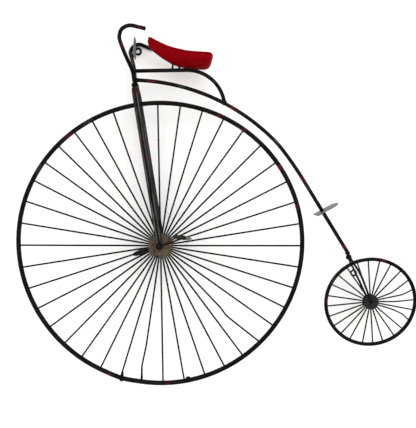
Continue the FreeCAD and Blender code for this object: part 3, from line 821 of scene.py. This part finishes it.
class SCULPTURE_OT_front_fork(bpy.types.Operator):
    """Make the paired fork rods, their crown and the axle bushes"""
    bl_idname = "sculpture.front_fork"
    bl_label = "Front fork"
    bl_options = {"REGISTER", "UNDO"}

    def execute(self, context):
        tucked = sizes().fork_rod + 0.0001
        spread = abs(middle("fork_bush_near").y - AXLE.y)
        for side, depth in (("near", -1), ("far", 1)):
            for place, forward in (("front", -tucked / 2), ("rear", tucked / 2)):
                route = rounded_route([
                    rake_point(0.0075, forward, depth * spread),
                    rake_point(0.398, forward, depth * spread),
                    rake_point(0.410, forward, depth * tucked),
                    rake_point(0.4155, forward, depth * tucked),
                ])
                name = f"{side}_{place}_fork_rod"
                mesh = rod_mesh(name, [route], sizes().fork_rod, "fork_black", 17 + 2 * depth)
                maroon = [(at(x, depth * spread, z), radius) for x, z, radius in (
                    (-0.061, 0.388, 0.019), (-0.042, 0.265, 0.019), (-0.034, 0.225, 0.011),
                    (-0.057, 0.34, 0.010))]
                green = [(at(-0.016, depth * spread, 0.077), 0.014)]
                # the strip that faces the room is marked for a painted highlight
                show(name, dabs(painted_highlight_strip(mesh), maroon, green), "frame",
                     [f"fork_rod_{side}_{place}"])
            self.make_bush(side)
        self.make_crown(tucked)
        return {"FINISHED"}

    def make_bush(self, side):
        """Bush with softened edges and weld metal round it."""
        node = f"fork_bush_{side}"
        low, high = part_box(node)
        centre = (low + high) / 2
        outer = (high.x - low.x) / 2
        bore = spans("front_axle").x / 2 + 0.00005
        profile = bevelled_ring(outer, bore, low.y - centre.y, high.y - centre.y, 0.0008, rows=2)
        mesh = turned_mesh(node, profile, centre, "weld_black", uneven=0.0002)
        show(f"{side}_fork_bush", mesh, "frame", [node])

    def make_crown(self, tucked):
        """Lump that gathers the four rods under the stem, waisted towards it."""
        low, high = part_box("fork_crown")
        centre = (low + high) / 2
        lean = Matrix.Rotation(-math.atan((at(*rake_point(0)).x - at(*rake_point(1)).x)), 3, "Y")
        lumps = [
            (centre, (0.0086, 0.0115, 0.0095), 2.0, 0.08, 0.015, lean),
            (centre + Vector((-0.0010, 0, 0.0075)), (0.0070, 0.0095, 0.0080), 5.0, 0.10, 0.015, lean),
        ]
        for forward in (-tucked / 2, tucked / 2):
            for depth in (-tucked, tucked):
                lumps.append((at(*rake_point(0.4145, forward, depth)), (0.0047, 0.0048, 0.0080),
                              8.0 + 100 * (forward + depth), 0.10, 0.0, lean))
        show("crown_weld", lump_mesh("crown_weld", lumps), "frame", ["fork_crown"])


class SCULPTURE_OT_handlebars(bpy.types.Operator):
    """Make the two hand-bent handlebars"""
    bl_idname = "sculpture.handlebars"
    bl_label = "Handlebars"
    bl_options = {"REGISTER", "UNDO"}

    def execute(self, context):
        reach = 0.085
        flank = sizes().frame_rod - 0.0002
        near = [(-0.0675, -flank, 0.425), (-0.071, -flank, 0.452), (-0.085, -0.050, 0.482),
                (-0.096, -reach, 0.515), (-0.090, -reach, 0.5375), (-0.070, -reach, 0.5465),
                (-0.030, -reach, 0.537)]
        far = [(-0.0675, flank, 0.425), (-0.0695, flank, 0.462), (-0.080, 0.050, 0.494),
               (-0.091, reach, 0.527), (-0.082, reach, 0.5435), (-0.066, reach, 0.5495),
               (-0.031, reach, 0.535)]
        worn = {
            "near": [(at(-0.045, -reach, 0.543), 0.015), (at(-0.090, -0.075, 0.498), 0.016)],
            "far": [(at(-0.075, 0.030, 0.480), 0.014)],
        }
        for side, points, seed in (("near", near, 23), ("far", far, 29)):
            name = f"{side}_handlebar"
            mesh = rod_mesh(name, [rounded_route(points)], sizes().frame_rod, "black_paint", seed)
            show(name, dabs(mesh, worn[side]), "frame", [f"handlebar_{side}"])
        return {"FINISHED"}


def between(stations, place):
    """Smooth value row at a place along a list of stations (cubic through four neighbours)."""
    rows = np.array(stations, float)
    last = len(rows) - 1
    number = min(int(place), last - 1)
    t = place - number
    p0, p1, p2, p3 = (rows[min(max(number + k, 0), last)] for k in (-1, 0, 1, 2))
    return 0.5 * (2 * p1 + (p2 - p0) * t + (2 * p0 - 5 * p1 + 4 * p2 - p3) * t ** 2
                  + (3 * p1 - p0 - 3 * p2 + p3) * t ** 3)


# station: place along the saddle, half width, height of the rim, height of the belly
SADDLE_STATIONS = [
    (-0.0318, 0.0070, 0.5275, 0.5205),
    (-0.0295, 0.0105, 0.5345, 0.5145),
    (-0.0265, 0.0130, 0.5360, 0.5105),
    (-0.005, 0.018, 0.5240, 0.4935),
    (0.021, 0.025, 0.5105, 0.4765),
    (0.045, 0.033, 0.5015, 0.4665),
    (0.073, 0.044, 0.4930, 0.4625),
    (0.103, 0.053, 0.4880, 0.4620),
    (0.118, 0.0515, 0.4875, 0.4628),
    (0.127, 0.043, 0.4890, 0.4675),
    (0.132, 0.030, 0.4900, 0.4765),
    (0.1342, 0.016, 0.4895, 0.4848),
]


class SCULPTURE_OT_saddle(bpy.types.Operator):
    """Make the saddle's deep formed hull and the crowned sheet that closes it"""
    bl_idname = "sculpture.saddle"
    bl_label = "Saddle"
    bl_options = {"REGISTER", "UNDO"}
    rows = 72
    columns = 40
    fullness = 0.57
    crown = 0.075

    def execute(self, context):
        stations = [between(SADDLE_STATIONS, (len(SADDLE_STATIONS) - 1) * n / (self.rows - 1))
                    for n in range(self.rows)]
        self.make_hull(stations)
        self.make_lid(stations)
        return {"FINISHED"}

    def skin(self, stations, point):
        """Grid of places, one row per station."""
        return [[point(row, column / self.columns) for column in range(self.columns + 1)]
                for row in stations]

    def hull_point(self, row, share):
        x, half, rim, belly = row
        swing = math.pi * share
        dip = math.sin(swing) ** self.fullness if 0 < share < 1 else 0.0
        return at(x, -half * math.cos(swing), rim - (rim - belly) * dip)

    def lid_point(self, row, share):
        x, half, rim = row[:3]
        across = -math.cos(math.pi * share)
        roll = math.sqrt(max(0.0, 1 - abs(across) ** 9))
        return at(x, half * across, rim + 0.0016 * roll + half * self.crown * (1 - across ** 2))

    def grid_mesh(self, name, grid, thickness):
        """Open grid given a sheet's thickness; its nose and tail are drawn together."""
        mesh = bpy.data.meshes.new(name)
        width = len(grid[0])
        places = [tuple(point) for line in grid for point in line]
        faces = []
        for r in range(len(grid) - 1):
            for c in range(width - 1):
                faces.append((r * width + c, r * width + c + 1,
                              (r + 1) * width + c + 1, (r + 1) * width + c))
        for r, flip in ((0, False), (len(grid) - 1, True)):
            ring = list(range(r * width, (r + 1) * width))
            faces.append(tuple(ring if flip else reversed(ring)))
        mesh.from_pydata(places, [], faces)
        source = bpy.data.objects.new(name, mesh)
        bpy.context.scene.collection.objects.link(source)
        wall = source.modifiers.new("wall", "SOLIDIFY")
        wall.thickness = thickness
        wall.offset = -1.0
        wall.use_even_offset = False
        edge = source.modifiers.new("edge", "BEVEL")
        edge.width = thickness * 0.35
        edge.segments = 3
        edge.limit_method = "ANGLE"
        edge.angle_limit = math.radians(50)
        result = plain_mesh(source)
        result.materials.append(finish("saddle_gloss"))
        return result

    def make_hull(self, stations):
        grid = self.skin(stations, self.hull_point)
        mesh = self.grid_mesh("saddle_hull", grid, sizes().saddle_sheet)
        show("saddle_hull", mesh, "frame", ["saddle_pan"], 50)

    def make_lid(self, stations):
        grid = self.skin(stations, self.lid_point)
        mesh = self.grid_mesh("saddle_lid", grid, sizes().saddle_sheet)
        show("saddle_lid", mesh, "frame", ["saddle_top"], 50)


def plate_mesh(name, outline, thickness, place, hole=None, uneven=0.0005, seed=1.0, material="bare_plate"):
    """Sheet plate in its own X-Y plane, moved to its place; hole is (x, y, radius)."""
    count = 96
    if hole:
        centre = Vector((hole[0], hole[1]))
    else:
        centre = sum((Vector(p) for p in outline), Vector((0, 0))) / len(outline)
    inner = hole[2] if hole else 0.0
    rings = [0.0, 0.25, 0.5, 0.75, 0.93, 1.0]
    shape = bmesh.new()

    def edge_reach(direction):
        """Distance from the centre to the outline along a direction."""
        best = math.inf
        for first, second in zip(outline, outline[1:] + outline[:1]):
            a = Vector(first) - centre
            b = Vector(second) - Vector(first)
            cross = direction.x * b.y - direction.y * b.x
            if abs(cross) < 1e-12:
                continue
            reach = (a.x * b.y - a.y * b.x) / cross
            along = (a.x * direction.y - a.y * direction.x) / cross
            if reach > 0 and -1e-4 <= along <= 1 + 1e-4:
                best = min(best, reach)
        return best

    directions = [Vector((math.cos(math.tau * n / count), math.sin(math.tau * n / count)))
                  for n in range(count)]
    for corner in outline:
        ray = (Vector(corner) - centre).normalized()
        nearest = min(range(count), key=lambda n: (directions[n] - ray).length)
        directions[nearest] = ray
    reaches = [edge_reach(d) for d in directions]
    layers = []
    for height in (-thickness / 2, thickness / 2):
        layer = []
        for share in rings:
            ring = []
            for direction, reach in zip(directions, reaches):
                flat = centre + direction * (inner + (reach - inner) * share)
                wave = uneven * noise.noise(Vector((flat.x * 45, flat.y * 45, seed)))
                ring.append(shape.verts.new(Vector((flat.x, flat.y, height + wave))))
            layer.append(ring)
        layers.append(layer)

    def wrap(first, second):
        for n in range(count):
            m = (n + 1) % count
            shape.faces.new((first[n], first[m], second[m], second[n]))

    for layer in layers:
        for first, second in zip(layer, layer[1:]):
            wrap(first, second)
    wrap(layers[0][-1], layers[1][-1])
    if hole:
        wrap(layers[0][0], layers[1][0])
    outward_faces(shape)
    rim = [e for e in shape.edges if e.is_manifold and e.calc_face_angle() > math.radians(50)]
    bmesh.ops.bevel(shape, geom=rim, offset=thickness * 0.22, segments=2, affect="EDGES", clamp_overlap=True)
    bmesh.ops.transform(shape, matrix=place, verts=shape.verts)
    bmesh.ops.recalc_face_normals(shape, faces=shape.faces)
    mesh = bpy.data.meshes.new(name)
    shape.to_mesh(mesh)
    shape.free()
    mesh.materials.append(finish(material))
    return mesh


class SCULPTURE_OT_plates(bpy.types.Operator):
    """Make the step plate on the backbone and the small plate at the far handlebar"""
    bl_idname = "sculpture.plates"
    bl_label = "Plates"
    bl_options = {"REGISTER", "UNDO"}

    def execute(self, context):
        long = 0.066
        half = spans("step_plate").y / 2
        nose = long - half * 0.35
        bore_x = 0.0210
        arc = []
        for n in range(9):
            share = n / 8
            across = -half + 2 * half * share
            arc.append((nose + (long - nose) * math.sin(math.pi * share) ** 0.8, across))
        outline = [(0.0, -half + 0.002), (0.002, -half)] + arc + [(0.002, half), (0.0, half - 0.002)]
        turn = Matrix.Rotation(math.radians(-28.9), 4, "Y") @ Matrix.Rotation(math.radians(4.5), 4, "X")
        crossing = at(0.4209, 0, 0.0890)
        place = Matrix.Translation(crossing) @ turn @ Matrix.Translation((-bore_x, 0, 0))
        hole = (bore_x, 0.0, sizes().frame_rod / 2 + 0.0001)
        mesh = plate_mesh("step", outline, sizes().plate, place, hole)
        show("step", mesh, "frame", ["step_plate"])

        low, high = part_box("bar_plate")
        centre = (low + high) / 2
        tall = (high.z - low.z) / 2
        deep = (high.y - low.y) / 2
        outline = [(-deep, -tall), (deep * 0.92, -tall), (deep, -tall * 0.75), (deep * 0.80, tall * 0.85),
                   (deep * 0.70, tall), (-deep * 0.55, tall), (-deep * 0.7, tall * 0.8),
                    (-deep, -tall * 0.3)]
        upright = Matrix(((0, 0, 1, 0), (1, 0, 0, 0), (0, 1, 0, 0), (0, 0, 0, 1)))
        place = Matrix.Translation(centre) @ Matrix.Rotation(math.radians(2), 4, "Y") @ upright
        mesh = plate_mesh("bar_gusset", outline, sizes().plate, place, uneven=0.0010, seed=6.0)
        show("bar_gusset", mesh, "frame", ["bar_plate"])
        return {"FINISHED"}


class SCULPTURE_OT_rear_fork(bpy.types.Operator):
    """Make the two blades that straddle the small wheel and its fixed pin"""
    bl_idname = "sculpture.rear_fork"
    bl_label = "Rear fork"
    bl_options = {"REGISTER", "UNDO"}

    def execute(self, context):
        spread = 0.013
        hub = REAR_AXLE - AXLE + Vector((-0.002, 0, 0.001))
        near = [(0.488, -0.004, -0.024), (0.4955, -spread, -0.040), (0.5185, -spread, -0.076),
                (hub.x, -spread, hub.z)]
        far = [(0.488, 0.004, -0.024), (0.4935, spread, -0.038), (0.5125, spread, -0.0775),
               (hub.x, spread, hub.z)]
        for side, points, seed in (("near", near, 31), ("far", far, 37)):
            name = f"{side}_rear_blade"
            mesh = rod_mesh(name, [rounded_route(points)], sizes().rear_blade, "black_paint", seed)
            show(name, dabs(mesh), "frame", [f"rear_fork_{side}"])
        half = spans("rear_axle").y / 2
        radius = spans("rear_axle").x / 2
        profile = [(0.0001, -half - 0.0006), (radius * 0.6, -half - 0.0004), (radius, -half + 0.0006),
                   (radius, half - 0.0006), (radius * 0.6, half + 0.0004), (0.0001, half + 0.0006)]
        mesh = turned_mesh("rear_pin", profile, REAR_AXLE, "weld_black", 32)
        show("rear_pin", mesh, "frame", ["rear_axle"])
        return {"FINISHED"}


class SCULPTURE_OT_rings(bpy.types.Operator):
    """Make the two hanging rings, each a closed loop of wire"""
    bl_idname = "sculpture.rings"
    bl_label = "Hanging rings"
    bl_options = {"REGISTER", "UNDO"}

    def execute(self, context):
        for node, bore, seed in (("ring_top", 0.0055, 41), ("ring_bottom", 0.0045, 43)):
            low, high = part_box(node)
            centre = (low + high) / 2
            wire = high.x - centre.x - bore
            reach = bore + wire / 2
            line = [centre + Vector((math.cos(math.tau * n / 48), 0, math.sin(math.tau * n / 48))) * reach
                    for n in range(48)]
            name = f"{node}_wire"
            mesh = rod_mesh(name, [line], wire, "black_paint", seed, closed=True, step=0.0012, uneven=0.5)
            show(name, dabs(mesh), "frame", [node])
        return {"FINISHED"}


class SCULPTURE_OT_beads(bpy.types.Operator):
    """Make the weld beads of the frame's joints"""
    bl_idname = "sculpture.beads"
    bl_label = "Weld beads"
    bl_options = {"REGISTER", "UNDO"}

    def execute(self, context):
        lumps = []
        for number, solid in enumerate(islands("weld_beads")):
            low, high = solid.min(axis=0), solid.max(axis=0)
            radius = (high - low).max() / 2
            centre = Vector((low + high) / 2)
            lumps.append((centre, (radius * 1.02, radius * 0.94, radius * 0.98), number * 3.0, 0.16, 0.025))
        lumps.append((at(0.4845, -0.001, -0.0185), (0.0052, 0.0056, 0.0052), 38.0, 0.2, 0.03))
        show("joint_beads", lump_mesh("joint_beads", lumps), "frame", ["weld_beads"])
        ring = []
        crossing = at(0.4209, 0, 0.0890)
        turn = Matrix.Rotation(math.radians(-28.9), 3, "Y")
        for n in range(12):
            swing = math.tau * n / 12
            local = Vector((math.cos(swing) * 0.0056, math.sin(swing) * 0.0056, -0.0011))
            ring.append((crossing + turn @ local, (0.0021, 0.0021, 0.0014), 50.0 + n, 0.25, 0.0, turn))
        show("step_weld", lump_mesh("step_weld", ring), "frame")
        return {"FINISHED"}


def spoke_lines(node, hub):
    """Centrelines of a wheel's wires, each from the hub to the rim, with a mark on its rim end."""
    lines = []
    marks = []
    for solid in islands(node):
        line = wire_line(solid, np.array(hub))
        lines.append(line)
        marks += [0.0] * (len(line) - 1) + [1.0]
    return lines, marks


class SCULPTURE_OT_front_wheel(bpy.types.Operator):
    """Make the large wheel's rim, spokes and hub"""
    bl_idname = "sculpture.front_wheel"
    bl_label = "Large wheel"
    bl_options = {"REGISTER", "UNDO"}

    def rim_place(self, angle, reach=0.366, depth=-0.005):
        swing = math.radians(angle)
        return FRONT_RIM + Vector((reach * math.cos(swing), depth, reach * math.sin(swing)))

    def execute(self, context):
        route = rim_route(FRONT_RIM, 0.3689, 0.3638, -9.2, (0.0011, 32.0), corner=(254.1, 0.0020, 7.0))
        mesh = rod_mesh("large_rim", [route], sizes().front_rim_rod, "black_paint", 47, closed=True)
        maroon = [(self.rim_place(angle), radius) for angle, radius in (
            (131, 0.020), (65, 0.015), (53.5, 0.010), (32, 0.012), (14.6, 0.012),
            (249, 0.011), (273, 0.009))]
        green = [(self.rim_place(angle), 0.020) for angle in (121, 149)]
        show("large_rim", dabs(mesh, maroon, green), "front_wheel", ["front_rim"])

        lines, marks = spoke_lines("front_spokes", AXLE)
        mesh = rod_mesh("large_spokes", lines, sizes().front_spoke, "spoke_black", 53, marks=marks,
                        step=0.012, sides=10, uneven=0.5)
        show("large_spokes", mesh, "front_wheel", ["front_spokes"])
        self.make_rim_welds()
        self.make_hub()
        return {"FINISHED"}

    def make_rim_welds(self):
        """Butt weld of the rim, a stray blob on its inside and weld run up one spoke."""
        def lean(angle):
            return Matrix.Rotation(-math.radians(angle), 3, "Y")

        lumps = [
            (self.rim_place(254.1, 0.3682, 0), (0.0064, 0.0063, 0.0072), 61.0, 0.06, 0.01),
            (self.rim_place(253.9, 0.3592, 0), (0.0040, 0.0036, 0.0042), 64.0, 0.14, 0.0, lean(254)),
            (self.rim_place(253.8, 0.3545, 0), (0.0062, 0.0028, 0.0029), 66.0, 0.12, 0.0, lean(254)),
            (self.rim_place(281.5, 0.3585, 0), (0.0034, 0.0042, 0.0058), 67.0, 0.18, 0.0, lean(281.5)),
        ]
        start = at(-0.0486, 0, -0.3140)
        end = at(-0.0492, 0, -0.3490)
        for n in range(9):
            share = n / 8
            width = 0.0023 + 0.0009 * share
            lumps.append((start.lerp(end, share), (width, width, 0.0032), 70.0 + n, 0.2, 0.0))
        show("rim_welds", lump_mesh("rim_welds", lumps), "front_wheel")

    def make_hub(self):
        for side in ("near", "far"):
            node = f"front_hub_disc_{side}"
            low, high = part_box(node)
            centre = (low + high) / 2
            bore = spans("front_axle").x / 2
            profile = bevelled_ring((high.x - low.x) / 2, bore, low.y - centre.y, high.y - centre.y,
                                    0.0006, rows=14)
            mesh = turned_mesh(node, profile, centre, "bronze_film", 96, uneven=0.00035, seed=len(side))
            show(f"{side}_hub_disc", mesh, "front_wheel", [node])
            spacer = f"front_spacer_{side}"
            low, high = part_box(spacer)
            centre = (low + high) / 2
            profile = bevelled_ring((high.x - low.x) / 2, bore, low.y - centre.y, high.y - centre.y,
                                    0.0004, rows=2)
            mesh = turned_mesh(spacer, profile, centre, "turned_steel", 48)
            show(f"{side}_hub_spacer", mesh, "front_wheel", [spacer])
        half = spans("front_axle").y / 2
        radius = spans("front_axle").x / 2
        profile = [(0.0001, -half), (radius * 0.75, -half), (radius, -half + 0.001), (radius, half - 0.001),
                   (radius * 0.75, half), (0.0001, half)]
        mesh = turned_mesh("large_axle", profile, AXLE, "turned_steel", 48)
        show("large_axle", mesh, "front_wheel", ["front_axle"])
        ends = []
        for depth in (-1, 1):
            ends.append((AXLE + Vector((0, depth * (half + 0.0008), 0)), (0.0072, 0.0028, 0.0066),
                         80.0 + depth, 0.22, 0.02))
        show("axle_end_welds", lump_mesh("axle_end_welds", ends), "front_wheel")


class SCULPTURE_OT_pedals(bpy.types.Operator):
    """Make both cranks, their pedals and caps"""
    bl_idname = "sculpture.pedals"
    bl_label = "Cranks and pedals"
    bl_options = {"REGISTER", "UNDO"}

    def execute(self, context):
        for side, depth, tilt, roll in (("near", -1, 6, -24), ("far", 1, -20, 32)):
            pin = middle(f"pedal_cap_{side}") - AXLE
            arm = 0.047
            tip = abs(pin.y) + 0.0015
            points = [(0, depth * arm, 0), (pin.x, depth * arm, pin.z), (pin.x, depth * tip, pin.z)]
            name = f"{side}_crank"
            mesh = rod_mesh(name, [rounded_route(points, 0.12)], sizes().crank_rod, "black_paint",
                            57 + depth, step=0.0015, sides=16)
            show(name, dabs(mesh), "front_wheel", [f"crank_{side}"])
            self.make_pedal(side, depth, tilt, roll)
            cap = f"pedal_cap_{side}"
            low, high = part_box(cap)
            centre = (low + high) / 2
            profile = bevelled_ring((high.x - low.x) / 2, 0.0001,
                                    low.y - centre.y, high.y - centre.y, 0.0007)
            mesh = turned_mesh(cap, profile, centre, "weld_black", 32)
            show(f"{side}_pedal_end", mesh, "front_wheel", [cap])
        return {"FINISHED"}

    def make_pedal(self, side, depth, tilt, roll):
        """Flat tread with a rolled sleeve under it."""
        node = f"pedal_{side}"
        pin = middle(f"pedal_cap_{side}")
        centre = Vector((pin.x, middle(node).y, pin.z))
        pin.y = centre.y
        width = spans(node).y
        deep = width / 2
        outline = [(0.0190, -deep * 0.10), (0.0190, deep * 0.15), (0.0110, deep * 0.70), (-0.0020, deep),
                   (-0.0180, deep * 0.95), (-0.0270, deep * 0.50), (-0.0270, -deep * 0.60),
                   (-0.0200, -deep * 0.95), (-0.0040, -deep), (0.0100, -deep * 0.75)]
        if depth > 0:
            outline = [(-along, across) for along, across in reversed(outline)]
        turn = Matrix.Rotation(math.radians(tilt), 4, "Y") @ Matrix.Rotation(math.radians(roll), 4, "X")
        place = Matrix.Translation(centre) @ turn
        plate = plate_mesh(node, outline, sizes().plate, place, uneven=0.0008, seed=9.0 + depth,
                           material="tread_film")
        sleeve = turned_mesh(f"{node}_sleeve", bevelled_ring(0.0040, 0.00255, -deep, deep, 0.0004, 2),
                             centre, "tread_film", 40)
        shape = bmesh.new()
        shape.from_mesh(plate)
        shape.from_mesh(sleeve)
        shape.to_mesh(plate)
        shape.free()
        # painted highlight on the near pedal's lit top face, not wear
        painted_lit_face = [(pin + Vector((0.013, 0, 0)), 0.019)] if depth < 0 else []
        show(f"{side}_pedal_tread", dabs(plate, green=painted_lit_face), node, [node])


class SCULPTURE_OT_rear_wheel(bpy.types.Operator):
    """Make the small wheel's rim, spokes and hub"""
    bl_idname = "sculpture.rear_wheel"
    bl_label = "Small wheel"
    bl_options = {"REGISTER", "UNDO"}

    def rim_place(self, angle):
        swing = math.radians(angle)
        return REAR_AXLE + Vector((0.113 * math.cos(swing), -0.004, 0.113 * math.sin(swing)))

    def execute(self, context):
        route = rim_route(REAR_AXLE, 0.1166, 0.1094, 20.0, corner=(112, 0.0008, 12), count=140)
        mesh = rod_mesh("small_rim", [route], sizes().rear_rim_rod, "black_paint", 59, closed=True)
        maroon = [(self.rim_place(73), 0.012), (self.rim_place(178), 0.012)]
        show("small_rim", dabs(mesh, maroon, [(self.rim_place(150), 0.018)]), "rear_wheel",
             ["rear_rim"])
        lines, marks = spoke_lines("rear_spokes", REAR_AXLE)
        mesh = rod_mesh("small_spokes", lines, sizes().rear_spoke, "spoke_black", 61, marks=marks,
                        step=0.006, sides=10, uneven=0.5)
        show("small_spokes", mesh, "rear_wheel", ["rear_spokes"])
        for side in ("near", "far"):
            node = f"rear_hub_disc_{side}"
            low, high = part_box(node)
            centre = (low + high) / 2
            bore = spans("rear_axle").x / 2 + 0.00005
            profile = bevelled_ring((high.x - low.x) / 2, bore, low.y - centre.y, high.y - centre.y,
                                    0.0005, rows=10)
            mesh = turned_mesh(node, profile, centre, "dark_film", 80, uneven=0.0003, seed=3.0)
            show(f"{side}_small_hub_disc", mesh, "rear_wheel", [node])
        return {"FINISHED"}


class SCULPTURE_OT_hidden_cores(bpy.types.Operator):
    """Give the two hub cores, whose CAD shape is kept, their finish"""
    bl_idname = "sculpture.hidden_cores"
    bl_label = "Hub cores"
    bl_options = {"REGISTER", "UNDO"}

    def execute(self, context):
        for node, name in (("front_hub_core", "bronze_film"), ("rear_hub_core", "dark_film")):
            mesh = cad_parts[node].data
            for number in range(len(mesh.materials)):
                mesh.materials[number] = finish(name)
        return {"FINISHED"}


class SCULPTURE_OT_stage(bpy.types.Operator):
    """Make the wall, the floor, the lights and the camera"""
    bl_idname = "sculpture.stage"
    bl_label = "Stage"
    bl_options = {"REGISTER", "UNDO"}

    def execute(self, context):
        low, high = CAD_BOX
        self.make_wall(high.y + 0.001, low.z - 0.25)
        self.make_lights((low + high) / 2)
        self.make_camera()
        return {"FINISHED"}

    def sheet_object(self, name, corners, material):
        mesh = bpy.data.meshes.new(name)
        mesh.from_pydata(corners, [], [(0, 1, 2, 3)])
        mesh.materials.append(material)
        made = bpy.data.objects.new(name, mesh)
        bpy.context.scene.collection.objects.link(made)
        return made

    def make_wall(self, depth, floor):
        """Wall that is open from behind, and the floor it stands on."""
        side = 4.0
        wall = [(-side, depth, floor), (side, depth, floor), (side, depth, side), (-side, depth, side)]
        self.sheet_object("wall", wall, self.one_sided(finish("wall_plaster")))
        ground = [(-side, -side, floor), (side, -side, floor), (side, side, floor), (-side, side, floor)]
        ground_sheet = self.sheet_object("floor", ground, finish("wall_plaster"))
        ground_sheet.visible_glossy = False

    def one_sided(self, plaster):
        """Copy of the wall's finish that is clear when seen from its back."""
        material = plaster.copy()
        material.name = "wall_plaster_open_back"
        tree = material.node_tree
        shader = next(n for n in tree.nodes if n.type == "BSDF_PRINCIPLED")
        output = next(n for n in tree.nodes if n.type == "OUTPUT_MATERIAL")
        clear = tree.nodes.new("ShaderNodeBsdfTransparent")
        mix = tree.nodes.new("ShaderNodeMixShader")
        facing = tree.nodes.new("ShaderNodeNewGeometry")
        tree.links.new(facing.outputs["Backfacing"], mix.inputs[0])
        tree.links.new(shader.outputs["BSDF"], mix.inputs[1])
        tree.links.new(clear.outputs["BSDF"], mix.inputs[2])
        tree.links.new(mix.outputs["Shader"], output.inputs["Surface"])
        return material

    def add_light(self, name, place, target, width, height, watts):
        data = bpy.data.lights.new(name, "AREA")
        data.shape = "RECTANGLE"
        data.size = width
        data.size_y = height
        data.energy = watts
        light = bpy.data.objects.new(name, data)
        light.location = place
        light.rotation_euler = (target - place).to_track_quat("-Z", "Y").to_euler()
        bpy.context.scene.collection.objects.link(light)

    def make_lights(self, centre):
        self.add_light("window", centre + Vector((0.30, -2.6, 0.60)), centre, 1.8, 1.4, 26)
        world = bpy.data.worlds.new("room")
        world.use_nodes = True
        background = world.node_tree.nodes["Background"]
        background.inputs["Color"].default_value = (1.0, 0.995, 0.985, 1.0)
        background.inputs["Strength"].default_value = 1.05
        bpy.context.scene.world = world
        bpy.context.scene.view_settings.view_transform = "Standard"

    def make_camera(self):
        """Camera square to the wall, a little right of the large hub and above it."""
        data = bpy.data.cameras.new("camera")
        reach = 1.500
        wheel_view = 0.0026 * IMAGE_HEIGHT
        data.sensor_width = 36.0
        data.lens = data.sensor_width * reach / wheel_view
        data.clip_start = 0.05
        data.clip_end = 50
        camera = bpy.data.objects.new("camera", data)
        camera.location = at(0.1232, -reach, 0.0822)
        camera.rotation_euler = (math.radians(90), 0, 0)
        bpy.context.scene.collection.objects.link(camera)
        bpy.context.scene.camera = camera


class SCULPTURE_PT_panel(bpy.types.Panel):
    """Buttons for every piece, in the 3D view's sidebar"""
    bl_idname = "SCULPTURE_PT_panel"
    bl_label = "Wall sculpture"
    bl_space_type = "VIEW_3D"
    bl_region_type = "UI"
    bl_category = "Sculpture"

    def draw(self, context):
        layout = self.layout
        for group in (context.scene.sculpture_sizes, context.scene.sculpture_colours):
            box = layout.box()
            for name in group.__annotations__:
                box.prop(group, name)
        for operator in OPERATORS:
            layout.operator(operator.bl_idname)


OPERATORS = [
    SCULPTURE_OT_main_rods,
    SCULPTURE_OT_front_fork,
    SCULPTURE_OT_handlebars,
    SCULPTURE_OT_saddle,
    SCULPTURE_OT_plates,
    SCULPTURE_OT_rear_fork,
    SCULPTURE_OT_rings,
    SCULPTURE_OT_beads,
    SCULPTURE_OT_front_wheel,
    SCULPTURE_OT_pedals,
    SCULPTURE_OT_rear_wheel,
    SCULPTURE_OT_hidden_cores,
    SCULPTURE_OT_stage,
]
CLASSES = [SculptureSizes, SculptureColours, *OPERATORS, SCULPTURE_PT_panel]


def register():
    for item in CLASSES:
        bpy.utils.register_class(item)
    bpy.types.Scene.sculpture_sizes = bpy.props.PointerProperty(type=SculptureSizes)
    bpy.types.Scene.sculpture_colours = bpy.props.PointerProperty(type=SculptureColours)


def unregister():
    del bpy.types.Scene.sculpture_colours
    del bpy.types.Scene.sculpture_sizes
    for item in reversed(CLASSES):
        bpy.utils.unregister_class(item)


def main():
    register()
    for operator in OPERATORS:
        group, name = operator.bl_idname.split(".")
        getattr(getattr(bpy.ops, group), name)()


if __name__ == "__main__":
    main()
